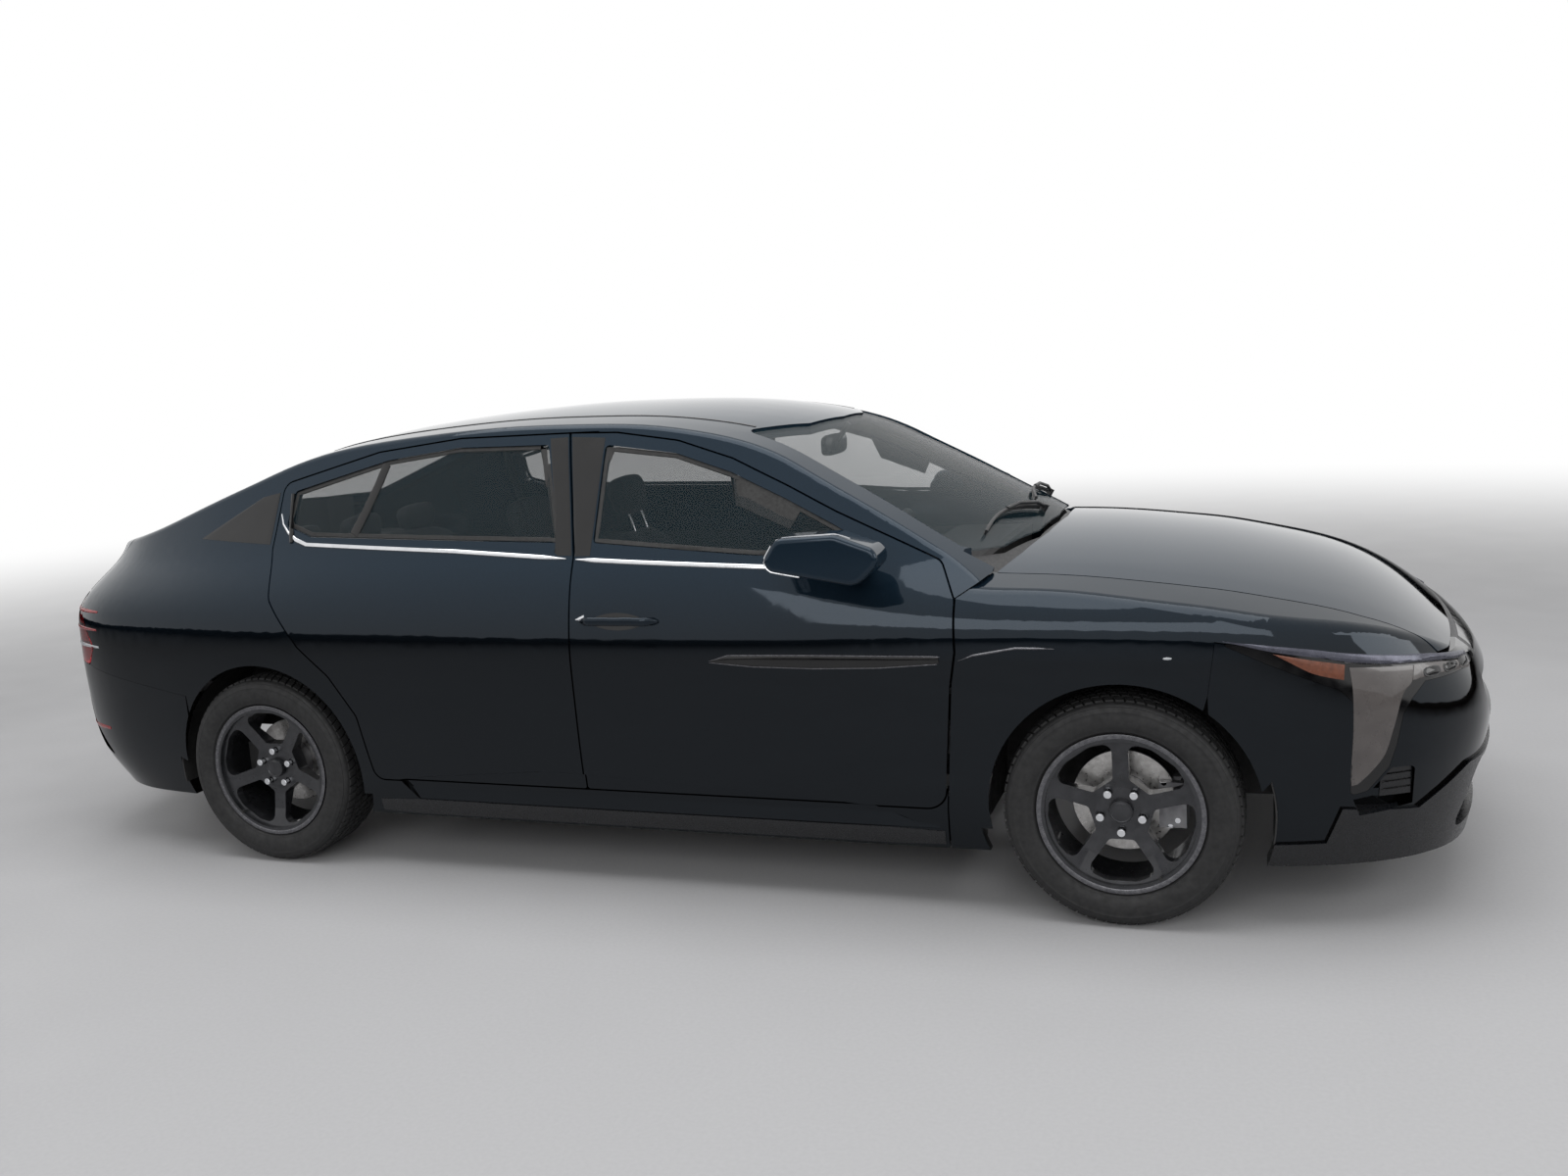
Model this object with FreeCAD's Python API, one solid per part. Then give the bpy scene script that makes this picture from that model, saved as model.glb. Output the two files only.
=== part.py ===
import FreeCAD, Part
import math
import os

from FreeCAD import Placement, Rotation, Vector

# Fastback sedan. Millimetres, +X forward, +Y to the car's left, +Z up, origin on the ground
# under the middle of the overall length.

doc = FreeCAD.newDocument("sedan")
sheet = doc.addObject("Spreadsheet::Sheet", "sizes")

SIZES = [
    ("front_overhang", 962), ("wheelbase", 2720), ("rear_overhang", 1058),
    ("overall_width", 1850), ("overall_height", 1425), ("track", 1610),
    ("tyre_radius", 312), ("tyre_width", 205), ("rim_radius", 218), ("arch_clearance", 40),
    ("shut_gap", 5), ("panel_joint", 0.8), ("seat_clearance", 0.3), ("seal_thickness", 12),
    ("rocker_depth", 12), ("lip_proud", 8), ("skin_thickness", 30), ("door_thickness", 100),
    ("door_flange", 14), ("door_step", 12), ("pillar_depth", 45), ("roof_thickness", 36),
    ("glass_thickness", 5), ("glass_inset", 6), ("floor_bottom", 178), ("floor_top", 250),
    ("bumper_depth", 70), ("disc_radius", 140), ("disc_thickness", 24), ("lug_circle", 114.3),
    ("spoke_width", 42),
    ("spindle_radius", 14), ("running_clearance", 0.05),
    ("kingpin_lower_y", 705), ("kingpin_upper_y", 590), ("kingpin_lower_z", 190),
    ("kingpin_upper_z", 850), ("steering_wheel_diameter", 370), ("steering_column_tilt", 24),
    ("engine_length", 480), ("engine_width", 620), ("engine_height", 420),
]
for row_number, (alias, value) in enumerate(SIZES, start=1):
    sheet.set("A%d" % row_number, alias)
    sheet.set("B%d" % row_number, str(value))
    sheet.setAlias("B%d" % row_number, alias)
doc.recompute()


def size(alias):
    return float(sheet.get(alias))


# The styling tables below are drawn for this car's own proportions, and stretch between the
# nose, the two axles and the tail when one of those lengths changes.
DRAWN_FRONT, DRAWN_BASE, DRAWN_REAR = 962.0, 2720.0, 1058.0
DRAWN_WIDTH, DRAWN_HEIGHT = 1850.0, 1425.0
DRAWN_NOSE = (DRAWN_FRONT + DRAWN_BASE + DRAWN_REAR) / 2
DRAWN_FRONT_AXLE = DRAWN_NOSE - DRAWN_FRONT
DRAWN_REAR_AXLE = DRAWN_FRONT_AXLE - DRAWN_BASE

NOSE_X = (size("front_overhang") + size("wheelbase") + size("rear_overhang")) / 2
FRONT_AXLE = NOSE_X - size("front_overhang")
REAR_AXLE = FRONT_AXLE - size("wheelbase")
HALF_TRACK = size("track") / 2
HUB_Z = size("tyre_radius")
ARCH_RADIUS = size("tyre_radius") + size("arch_clearance")
RIGHT, LEFT = -1, 1


def X(drawn):
    if drawn > DRAWN_FRONT_AXLE:
        return FRONT_AXLE + (drawn - DRAWN_FRONT_AXLE) * size("front_overhang") / DRAWN_FRONT
    if drawn < DRAWN_REAR_AXLE:
        return REAR_AXLE + (drawn - DRAWN_REAR_AXLE) * size("rear_overhang") / DRAWN_REAR
    return FRONT_AXLE + (drawn - DRAWN_FRONT_AXLE) * size("wheelbase") / DRAWN_BASE


def Y(drawn):
    return drawn * size("overall_width") / DRAWN_WIDTH


def Z(drawn):
    return drawn * size("overall_height") / DRAWN_HEIGHT


def between(table, at):
    pairs = sorted(table)
    if at <= pairs[0][0]:
        return pairs[0][1]
    for (x0, y0), (x1, y1) in zip(pairs, pairs[1:]):
        if at <= x1:
            return y0 + (y1 - y0) * (at - x0) / (x1 - x0)
    return pairs[-1][1]


# Plan outline of the body at its widest level, nose to tail: x, half width.
PLAN = [(2370, 0), (2366, 150), (2346, 350), (2300, 560), (2215, 700), (2100, 795), (1960, 860),
        (1780, 900), (1500, 920), (1100, 924), (600, 925), (0, 925), (-600, 925), (-1100, 924),
        (-1500, 918), (-1750, 903), (-1950, 875), (-2090, 825), (-2200, 745), (-2290, 590),
        (-2340, 380), (-2364, 160), (-2370, 0)]
# Height, half width, nose and tail of each level line of the body side.
LEVELS = [(60, 800, 2270, -2190), (120, 838, 2300, -2215), (200, 868, 2318, -2245),
          (300, 891, 2338, -2325), (400, 904, 2358, -2362), (520, 914, 2370, -2370),
          (640, 922, 2330, -2369), (740, 925, 2262, -2364), (830, 914, 2180, -2350),
          (910, 895, 2100, -2325), (980, 868, 2030, -2302), (1060, 830, 1950, -2280),
          (1160, 782, 1850, -2250), (1260, 735, 1750, -2220), (1360, 683, 1650, -2190),
          (1460, 628, 1550, -2160)]
# Share of the half width that the glasshouse keeps along the car.
GLASSHOUSE_TAPER = [(1200, .86), (900, .935), (600, .975), (300, .993), (0, 1), (-400, 1),
                    (-800, .99), (-1200, .965), (-1500, .93), (-1800, .88), (-2100, .80), (-2350, .7)]
TAPER_FROM, TAPER_FULL = 850.0, 1000.0
END_ZONE = 1200.0
# Centre line of windscreen, roof and fastback: x, height, fall in mm at one metre off centre.
ROOF_LINE = [(1450, 830, 200), (1250, 943, 190), (1169, 986, 185), (1046, 1052, 180),
             (890, 1132, 172), (730, 1207, 148), (568, 1284, 134), (463, 1331, 122), (330, 1371, 112),
             (180, 1398, 106), (19, 1415, 100), (-201, 1424, 100), (-429, 1425, 99), (-664, 1415, 98),
             (-909, 1396, 98), (-1120, 1368, 101), (-1256, 1335, 103), (-1400, 1288, 105),
             (-1550, 1238, 106), (-1700, 1186, 107), (-1850, 1136, 109), (-2009, 1092, 110),
             (-2150, 1056, 112), (-2260, 1030, 113), (-2450, 990, 115)]
BONNET_LINE = [(850, 1010, 120), (1000, 1000, 120), (1200, 990, 120), (1352, 981, 120),
               (1501, 966, 120), (1646, 948, 120), (1789, 920, 120), (1928, 886, 115),
               (2030, 850, 110), (2119, 805, 105), (2200, 750, 100), (2280, 685, 90), (2400, 570, 80)]
CROSS_STATIONS = [-1000, -750, -500, -250, 0, 250, 500, 750, 1000]


def side_inset(inset_low, inset_high, z):
    blend = min(max((z - 880.0) / 100.0, 0.0), 1.0)
    return inset_low + (inset_high - inset_low) * blend


def level_wire(level, inset_low, inset_high, end_inset, right_half):
    z, half, nose, tail = level
    inset = side_inset(inset_low, inset_high, z)
    upper_share = min(max((z - TAPER_FROM) / (TAPER_FULL - TAPER_FROM), 0.0), 1.0)
    ends = DRAWN_NOSE - END_ZONE
    right = []
    for x, y in PLAN:
        drawn_x = x
        if x > END_ZONE:
            drawn_x = END_ZONE + (x - END_ZONE) * (nose - end_inset - END_ZONE) / ends
        if x < -END_ZONE:
            drawn_x = -END_ZONE + (x + END_ZONE) * (-tail - end_inset - END_ZONE) / ends
        taper = 1.0 - upper_share * (1.0 - between(GLASSHOUSE_TAPER, drawn_x))
        drawn_y = y * half / (DRAWN_WIDTH / 2) * taper * (1.0 - inset / (half * taper))
        right.append(Vector(X(drawn_x), -Y(drawn_y), Z(z)))
    left = [Vector(p.x, -p.y, p.z) for p in reversed(right[1:-1])]
    loop = right + left
    steps = [i / float(len(loop)) for i in range(len(loop) + 1)]
    curve = Part.BSplineCurve()
    curve.interpolate(Points=loop, PeriodicFlag=True, Parameters=steps)
    if not right_half:
        return Part.Wire([curve.toShape()])
    curve.segment(0.0, 0.5)
    return Part.Wire([curve.toShape(), Part.LineSegment(curve.EndPoint, curve.StartPoint).toShape()])


def body_sides(inset_low, inset_high, end_inset, right_half=False):
    wires = [level_wire(level, inset_low, inset_high, end_inset, right_half) for level in LEVELS]
    return Part.makeLoft(wires, True, False)


def right_sides(inset_low, inset_high, end_inset):
    return body_sides(inset_low, inset_high, end_inset, True)


def under(line, drop):
    # everything below a crowned top surface
    grid = []
    for x, z, fall in line:
        grid.append([Vector(X(x), Y(y), Z(z - fall * (y / 1000.0) ** 2) - drop) for y in CROSS_STATIONS])
    surface = Part.BSplineSurface()
    surface.interpolate(grid)
    return surface.toShape().extrude(Vector(0, 0, -2 * size("overall_height")))


def long_edges(shape, above):
    return [e for e in shape.Edges if e.BoundBox.XLength > X(1000) and e.BoundBox.ZMax > above
            and e.BoundBox.ZMin > Z(400) and e.BoundBox.YLength > 20]


def solid_of(shape):
    solids = shape.Solids
    if len(solids) == 1:
        return solids[0]
    return Part.makeCompound(solids)


def largest(shape):
    return max(shape.Solids, key=lambda s: s.Volume)


def block(x0, x1, y0, y1, z0, z1):
    return Part.makeBox(abs(x1 - x0), abs(y1 - y0), abs(z1 - z0),
                        Vector(min(x0, x1), min(y0, y1), min(z0, z1)))


def rounded_wire(points):
    # points are (Vector, corner radius); a corner with a radius becomes a tangent arc
    corners = []
    count = len(points)
    for i in range(count):
        here, radius = points[i]
        back = points[i - 1][0] - here
        ahead = points[(i + 1) % count][0] - here
        if radius <= 0:
            corners.append((here, None, here))
            continue
        half_angle = back.getAngle(ahead) / 2
        reach = min(radius / math.tan(half_angle), 0.48 * back.Length, 0.48 * ahead.Length)
        radius = reach * math.tan(half_angle)
        back.normalize()
        ahead.normalize()
        bisector = (back + ahead).normalize()
        middle = here + bisector * (radius / math.sin(half_angle) - radius)
        corners.append((here + back * reach, middle, here + ahead * reach))
    edges = []
    for i in range(count):
        start, middle, end = corners[i]
        if middle is not None:
            edges.append(Part.Arc(start, middle, end).toShape())
        following = corners[(i + 1) % count][0]
        if (following - end).Length > 1e-6:
            edges.append(Part.LineSegment(end, following).toShape())
    return Part.Wire(edges)


def outline_face(points, plane, grow=0.0):
    # an outline drawn in side view (xz), plan (xy) or front view (yz)
    vectors = []
    for point in points:
        radius = point[2] if len(point) > 2 else 0
        if plane == "xz":
            vectors.append((Vector(X(point[0]), 0, Z(point[1])), radius))
        elif plane == "xy":
            vectors.append((Vector(X(point[0]), Y(point[1]), 0), radius))
        else:
            vectors.append((Vector(0, Y(point[0]), Z(point[1])), radius))
    wire = rounded_wire(vectors)
    if grow:
        wire = wire.makeOffset2D(grow)
    return Part.Face(wire)


ACROSS = {"xz": Vector(0, 1, 0), "xy": Vector(0, 0, 1), "yz": Vector(1, 0, 0)}


def extruded(face, plane, low, high):
    moved = face.copy()
    moved.translate(ACROSS[plane] * low)
    return moved.extrude(ACROSS[plane] * (high - low))


def prism(points, plane, low, high, grow=0.0):
    return extruded(outline_face(points, plane, grow), plane, low, high)


def mirrored(shape):
    return shape.mirror(Vector(0, 0, 0), Vector(0, 1, 0))


def on_side(shape, side):
    return shape if side == RIGHT else mirrored(shape)


def both_sides(shape):
    return Part.makeCompound(solid_of(shape).Solids + solid_of(mirrored(shape)).Solids)


def bar(start, end, radius):
    return Part.makeCylinder(radius, (end - start).Length, start, end - start)


def pipe(points, radius):
    # straight runs joined by balls of the same radius
    shape = bar(points[0], points[1], radius)
    for a, b in zip(points[1:], points[2:]):
        shape = shape.fuse(Part.makeSphere(radius, a)).fuse(bar(a, b, radius))
    return shape


def symmetric_outline(half):
    # closes an outline drawn on the left half (x, y >= 0) over the centre line
    other = [(p[0], -p[1]) + tuple(p[2:]) for p in reversed(half) if p[1] > 0]
    return half + other


# Shut lines and openings, drawn in side view: x, z and corner radius.
FRONT_DOOR = [(-156, 300, 10), (945, 300, 60), (976, 655), (991, 745), (988, 880, 30), (940, 975, 40),
              (640, 1112), (494, 1186), (321, 1266), (143, 1322, 80), (-60, 1352, 60), (-219, 1356, 6),
              (-150, 1000)]
REAR_DOOR = [(-156, 300, 10), (-150, 1000), (-219, 1356, 6), (-600, 1354, 60), (-900, 1322, 60),
             (-1262, 1232, 40), (-1268, 1030, 30), (-1235, 880, 60), (-1120, 730, 60), (-1020, 640, 60),
             (-935, 510, 60), (-900, 300, 40)]
FRONT_WINDOW = [(-92, 1040, 12), (-92, 1318, 14), (143, 1286, 40), (321, 1228), (494, 1150), (634, 1079),
                (790, 993, 14), (414, 1000)]
REAR_WINDOW = [(-205, 1042, 12), (-285, 1324, 14), (-600, 1326, 40), (-860, 1296), (-1215, 1208, 20),
               (-1225, 1100, 14), (-1120, 1066, 20), (-600, 1052)]
# Where the front door keeps more room for its frame, and where the inner part of a door steps back
PILLAR_STRIP = [(-148.5, 930), (-145.9, 1010), (-214.2, 1362), (-260, 1362), (-260, 930)]
STEP_FRONT = [(-400, 250), (-90, 250), (-90, 1420), (-400, 1420)]
STEP_REAR = [(-1400, 250), (-880, 250), (-880, 1290), (-230, 1290), (-230, 1420), (-1400, 1420)]
WINDSCREEN_HALF = [(1140, 0), (1125, 300), (1066, 560), (985, 715, 40), (310, 596, 40), (420, 300),
                   (440, 0)]
REAR_SCREEN_HALF = [(-1290, 0), (-1275, 300), (-1240, 540, 50), (-1900, 630, 60), (-1975, 400), (-1990, 0)]
BONNET_HALF = [(1166, 0), (1150, 300), (1110, 560), (1072, 735, 10), (1600, 738), (2000, 705),
               (2160, 660), (2420, 560), (2420, 0)]
BONNET_SIDE = [(900, 800), (1640, 800), (1800, 765), (1952, 722), (2060, 706), (2450, 700), (2450, 1200),
               (900, 1200)]
LAMP_SIDE = [(1650, 778, 4), (1743, 764), (1857, 741), (1952, 717), (2060, 701), (2340, 694),
             (2340, 650), (2145, 648), (2113, 613), (2091, 575), (2076, 499), (2059, 442),
             (2009, 382, 10), (1968, 371, 10), (1969, 449), (1977, 542), (1979, 610, 20), (1940, 650, 20),
             (1879, 675), (1778, 718)]
FENDER_SIDE = [(948.8, 180), (951.8, 300), (979.8, 655), (994.8, 745), (991.8, 884), (1072, 934),
               (1072, 1100), (2230, 900), (2230, 702), (2060, 701.8), (1952, 717.8), (1857, 741.8),
               (1743, 764.8), (1648, 779.2), (1630, 640), (1500, 180)]
BUMPER_SIDE = [(1640, 175), (1630.8, 640), (1648.9, 776), (1743, 761), (1857, 738), (1952, 714), (2060, 698),
               (2450, 692), (2450, 175)]
GRILLE_FRONT = [(-520, 600, 40), (520, 600, 40), (430, 480, 60), (-430, 480, 60)]
INTAKE_FRONT = [(-620, 225, 30), (620, 225, 30), (560, 400, 50), (-560, 400, 50)]
REAR_BUMPER_SIDE = [(-1630, 200), (-1610, 556.7), (-2066, 632.2), (-2088, 636.8), (-2130, 639.6),
                    (-2450, 639.6), (-2450, 200)]
TAIL_LAMP_SIDE = [(-2040, 700, 20), (-2090, 640, 20), (-2450, 640), (-2450, 868), (-2150, 876, 20)]
BOOT_HALF = [(-2012, 0), (-1997, 400), (-1925, 610, 30), (-2180, 600), (-2450, 560), (-2450, 0)]
SIDE_FRAME = [(943, 180), (948, 300), (975, 655), (988, 745), (988, 885), (1068, 935), (1068, 1000),
              (800, 1150), (500, 1290), (300, 1440), (-1500, 1440), (-2450, 1100), (-2450, 880),
              (-2150, 880), (-2036, 703), (-2086, 637), (-2066, 633), (-1607, 557), (-1600, 180)]

ROCKER = [(-834, 315, 10), (-271, 362), (52, 349), (456, 329), (742, 311), (851, 270), (935, 262, 10),
          (935, 225, 10), (-760, 225, 10)]
FRONT_LIP = [(1640, 150), (1640, 236), (1913, 243), (1950, 338), (2134, 320), (2204, 369), (2262, 412, 30),
             (2450, 412), (2450, 150)]
CORNER_DUCT = [(1974, 362), (2013, 378), (2066, 440, 8), (2122, 438, 12), (2118, 334), (1990, 318)]
REAR_VENT = [(-2210, 585, 10), (-2172, 590, 10), (-2150, 430, 60), (-2050, 300, 8), (-2150, 330, 50)]

FAR_OUT = -Y(1000)
INBOARD = -Y(420)
gap = size("shut_gap")
joint = size("panel_joint")
skin = size("skin_thickness")
clear = size("seat_clearance")
belly = block(X(-2600), X(2600), -Y(1200), Y(1200), -Z(200), Z(size("floor_bottom")))

sides = body_sides(0, 0, 0)
upper = sides.common(under(ROOF_LINE, 0))
upper = upper.makeFillet(25, long_edges(upper, Z(1250)))
lower = sides.common(under(BONNET_LINE, 0))
lower = lower.makeFillet(50, long_edges(lower, Z(500)))
skin_sides = body_sides(skin, skin, skin)
cabin_sides = body_sides(size("door_thickness"), size("pillar_depth"), 150)
cabin_all = cabin_sides.common(under(ROOF_LINE, size("roof_thickness")))

# The right half on its own, for the pieces that come in pairs
half = right_sides(0, 0, 0)
upper_half = half.common(under(ROOF_LINE, 0))
upper_half = upper_half.makeFillet(25, long_edges(upper_half, Z(1250)))
lower_half = half.common(under(BONNET_LINE, 0))
lower_half = lower_half.makeFillet(50, long_edges(lower_half, Z(500)))
cabin_half = right_sides(size("door_thickness"), size("pillar_depth"), 150)
cabin_half = cabin_half.common(under(ROOF_LINE, size("roof_thickness")))
front_inner_half = right_sides(skin, skin, skin).common(under(BONNET_LINE, skin))
DASH_TOP, FIREWALL, COWL, BULKHEAD = Z(880), X(905), X(1150), X(-1540)
FLOOR_TOP = size("floor_top")


def cylinder_y(x, z, radius, y0, y1):
    return Part.makeCylinder(radius, abs(y1 - y0), Vector(x, min(y0, y1), z), Vector(0, 1, 0))


def wheel_well(axle, y_in):
    lip = cylinder_y(axle + 6, HUB_Z + 4, ARCH_RADIUS, -Y(1000), -y_in)
    deep = cylinder_y(axle + 6, HUB_Z + 4, ARCH_RADIUS + 30, -Y(880), -y_in)
    return lip.fuse(deep)


front_well = wheel_well(FRONT_AXLE, 430)
rear_well = wheel_well(REAR_AXLE, 600)
pieces = {}


def keep(name, shape):
    pieces[name] = shape


def keep_pair(stem, right_shape):
    keep(stem + "_right", right_shape)
    keep(stem + "_left", mirrored(right_shape))


glass_out = right_sides(size("glass_inset"), size("glass_inset"), 8)
glass_depth = size("glass_inset") + size("glass_thickness")
glass_in = right_sides(glass_depth, glass_depth, 14)

# The lower doors and the sill are set in under a drawn line
rocker_wires = [outline_face(ROCKER, "xz", grow).OuterWire for grow in (12, -14)]
rocker_wires[0].translate(Vector(0, -Y(945), 0))
rocker_wires[1].translate(Vector(0, -Y(875), 0))
rocker_cut = Part.makeLoft(rocker_wires, True, True).cut(right_sides(size("rocker_depth"), 60, 60))

# Doors and their glass
doors = {"front": (FRONT_DOOR, FRONT_WINDOW, STEP_FRONT), "rear": (REAR_DOOR, REAR_WINDOW, STEP_REAR)}
flange = size("door_flange")
leaf_core = right_sides(flange, flange, flange)
for place, (outline, window, step_zone) in doors.items():
    leaf_face = outline_face(outline, "xz", -gap / 2)
    step = outline_face(outline, "xz", gap).cut(outline_face(outline, "xz", -gap / 2 - size("door_step")))
    step = step.common(outline_face(step_zone, "xz"))
    if place == "front":
        leaf_face = leaf_face.cut(outline_face(PILLAR_STRIP, "xz"))
    leaf = upper_half.common(extruded(leaf_face, "xz", FAR_OUT, INBOARD))
    leaf = leaf.cut(cabin_half).cut(extruded(step, "xz", FAR_OUT, INBOARD).common(leaf_core))
    leaf = largest(leaf.cut(prism(window, "xz", FAR_OUT, INBOARD)).cut(rocker_cut))
    if place == "rear":
        leaf = leaf.cut(rear_well)
    keep_pair("door_" + place, solid_of(leaf))
    pane = glass_out.common(prism(window, "xz", FAR_OUT, INBOARD, grow=-clear))
    keep_pair("window_" + place, solid_of(pane.cut(glass_in)))

# Side frames: rail, pillars, sill and quarter panel round the two door openings
frame_face = outline_face(SIDE_FRAME, "xz")
for outline in (FRONT_DOOR, REAR_DOOR):
    frame_face = frame_face.cut(outline_face(outline, "xz", gap / 2))
for low, high in ((300 - gap / 2, 312), (1330, 1356 + gap / 2)):
    frame_face = frame_face.cut(outline_face([(-250, low), (-120, low), (-120, high), (-250, high)], "xz"))
boot_half = prism(symmetric_outline(BOOT_HALF), "xy", 0, Z(1500), grow=joint / 2)
windscreen_hole = prism(symmetric_outline(WINDSCREEN_HALF), "xy", Z(700), Z(1500))
rear_screen_hole = prism(symmetric_outline(REAR_SCREEN_HALF), "xy", Z(700), Z(1500))
COWL_BACK = [(1140, 0), (1125, 300), (1066, 560), (985, 715), (985, 732)]
COWL_FRONT = [(1072, 732), (1110, 560), (1150, 300), (1166, 0)]
cowl_face = outline_face(symmetric_outline(COWL_BACK + COWL_FRONT), "xy", 0)
cowl_prism = extruded(cowl_face, "xy", DASH_TOP, Z(1200))
frame_prism = extruded(frame_face, "xz", FAR_OUT, -Y(520))
frame_prism = frame_prism.cut(rear_well).cut(boot_half).cut(windscreen_hole).cut(rear_screen_hole)
frame_prism = frame_prism.cut(belly).cut(block(X(-2600), X(2600), -Y(740), 0, 0, FLOOR_TOP))
frame = largest(upper_half.common(frame_prism))
frame = frame.cut(cabin_half.common(block(X(-1540), X(1200), -Y(1000), 0, FLOOR_TOP, Z(1500))))
boot_space = right_sides(60, 60, 60).common(under(ROOF_LINE, size("roof_thickness")))
boot_space = boot_space.common(block(X(-2330), X(-1540), -Y(1000), 0, Z(430), Z(1500)))
frame = largest(frame.cut(boot_space))
post_block = block(X(1000), X(1030), -Y(1000), -Y(760), FLOOR_TOP - 60, Z(870))
post_foot = block(X(940), X(1030), -Y(1000), -Y(760), FLOOR_TOP - 60, Z(290))
hinge_post = right_sides(skin + clear, skin + clear, 60).common(post_block.fuse(post_foot))
hinge_post = hinge_post.cut(prism(FRONT_DOOR, "xz", FAR_OUT, INBOARD, grow=gap / 2))
seal = size("seal_thickness")
post_gap = seal + 2 * clear
pillar_sides = right_sides(size("door_thickness") + post_gap, size("pillar_depth") + post_gap, 150)
pillar_inner = right_sides(size("door_thickness") + 50, size("pillar_depth") + 40, 150)
B_PILLAR = [(-220, 240), (-80, 240), (-90, 1000), (-150, 1420), (-300, 1420), (-215, 1000)]
pillar = pillar_sides.common(prism(B_PILLAR, "xz", FAR_OUT, INBOARD)).cut(pillar_inner)
pillar = pillar.common(block(X(-400), X(100), -Y(1000), 0, FLOOR_TOP, Z(1500)))
pillar = pillar.common(under(ROOF_LINE, size("roof_thickness") + post_gap))
frame = frame.cut(cowl_prism).cut(rocker_cut).multiFuse([hinge_post, pillar])
keep_pair("side_frame", solid_of(frame))

# Rubber seals behind the edges of the doors
seal_face = outline_face(FRONT_DOOR, "xz", 8).fuse(outline_face(REAR_DOOR, "xz", 8)).removeSplitter()
for outline in (FRONT_DOOR, REAR_DOOR):
    seal_face = seal_face.cut(outline_face(outline, "xz", -24))
seal_ring = extruded(seal_face, "xz", -Y(900), INBOARD)
seal_ring = seal_ring.common(right_sides(size("door_thickness") + clear, size("pillar_depth") + clear, 150))
seal_ring = seal_ring.common(under(ROOF_LINE, size("roof_thickness") + clear))
seal_core = right_sides(size("door_thickness") + seal, size("pillar_depth") + seal, 150)
seal_core = seal_core.common(under(ROOF_LINE, size("roof_thickness") + seal))
seal_ring = seal_ring.cut(block(X(885), X(950), FAR_OUT, INBOARD, Z(955), Z(1000)))
seal_ring = seal_ring.cut(seal_core).cut(block(X(-2600), X(2600), -Y(1000), 0, 0, FLOOR_TOP + clear))
keep("door_seals", both_sides(seal_ring))

# Panels that cross the centre line
deck_y = Y(520)
bonnet_hole = prism(symmetric_outline(BONNET_HALF), "xy", 0, Z(1500), grow=gap / 2)
boot_hole = prism(symmetric_outline(BOOT_HALF), "xy", 0, Z(1500), grow=gap / 2)
roof = upper.common(block(X(-1320), X(470), -deck_y, deck_y, Z(1200), Z(1500)))
roof = roof.cut(cabin_all).cut(windscreen_hole).cut(rear_screen_hole)
keep("roof_panel", solid_of(roof))


def top_pane(outline):
    hole = prism(symmetric_outline(outline), "xy", Z(700), Z(1500), grow=-clear)
    pane = hole.common(under(ROOF_LINE, size("glass_inset")))
    return largest(pane.cut(under(ROOF_LINE, glass_depth)))


keep("windscreen", top_pane(WINDSCREEN_HALF))
keep("rear_window", top_pane(REAR_SCREEN_HALF))

cowl = cowl_prism.common(under(ROOF_LINE, 28)).fuse(cowl_prism.common(under(BONNET_LINE, 28)))
cowl = cowl.cut(bonnet_hole).cut(windscreen_hole)
keep("cowl", solid_of(cowl))

front_inner = skin_sides.common(under(BONNET_LINE, skin))
bonnet = lower.common(prism(symmetric_outline(BONNET_HALF), "xy", 0, Z(1500), grow=-gap / 2))
bonnet = bonnet.common(prism(BONNET_SIDE, "xz", -Y(1000), Y(1000), grow=-gap / 2)).cut(front_inner)
keep("bonnet", largest(bonnet))

fender = lower_half.common(prism(FENDER_SIDE, "xz", FAR_OUT, INBOARD)).cut(front_inner_half)
fender = fender.cut(bonnet_hole).cut(front_well).cut(cowl_prism)
keep("front_fenders", both_sides(largest(fender)))

lamp = lower_half.common(prism(LAMP_SIDE, "xz", FAR_OUT, INBOARD, grow=-joint / 2)).cut(front_inner_half)
keep("headlamps", both_sides(largest(lamp)))

depth = size("bumper_depth")
bumper_inner = body_sides(depth, depth, depth)
nose_band = block(X(2100), X(2450), INBOARD, -INBOARD, Z(648), Z(697))
lamp_gap = prism(LAMP_SIDE, "xz", FAR_OUT, INBOARD, grow=joint / 2)
duct = prism(CORNER_DUCT, "xz", FAR_OUT, -Y(560)).cut(right_sides(28, 28, 28))
grille_hole = prism(GRILLE_FRONT, "yz", X(2150), X(2450))
intake_hole = prism(INTAKE_FRONT, "yz", X(2150), X(2450))
nose_cuts = [belly, lamp_gap, mirrored(lamp_gap), nose_band, grille_hole, intake_hole, front_well,
             mirrored(front_well), duct, mirrored(duct)]
lip_prism = prism(FRONT_LIP, "xz", -Y(1000), Y(1000))
bumper = lower.common(prism(BUMPER_SIDE, "xz", -Y(1000), Y(1000))).cut(bumper_inner)
bumper = bumper.cut(prism(FRONT_LIP, "xz", -Y(1000), Y(1000), grow=joint)).cut(nose_cuts)
bumper = bumper.cut(bonnet_hole.common(block(X(2000), X(2500), -Y(1000), Y(1000), Z(697), Z(1200))))
keep("front_bumper", largest(bumper))
proud = -size("lip_proud")
lip = body_sides(proud, proud, proud).common(lip_prism).cut(bumper_inner).cut(nose_cuts)
keep("front_lip", largest(lip))

# Grilles: slats on ribs, set back in their openings
grille_outer = body_sides(18, 18, 18)
grille_back = body_sides(40, 40, 40)


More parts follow.
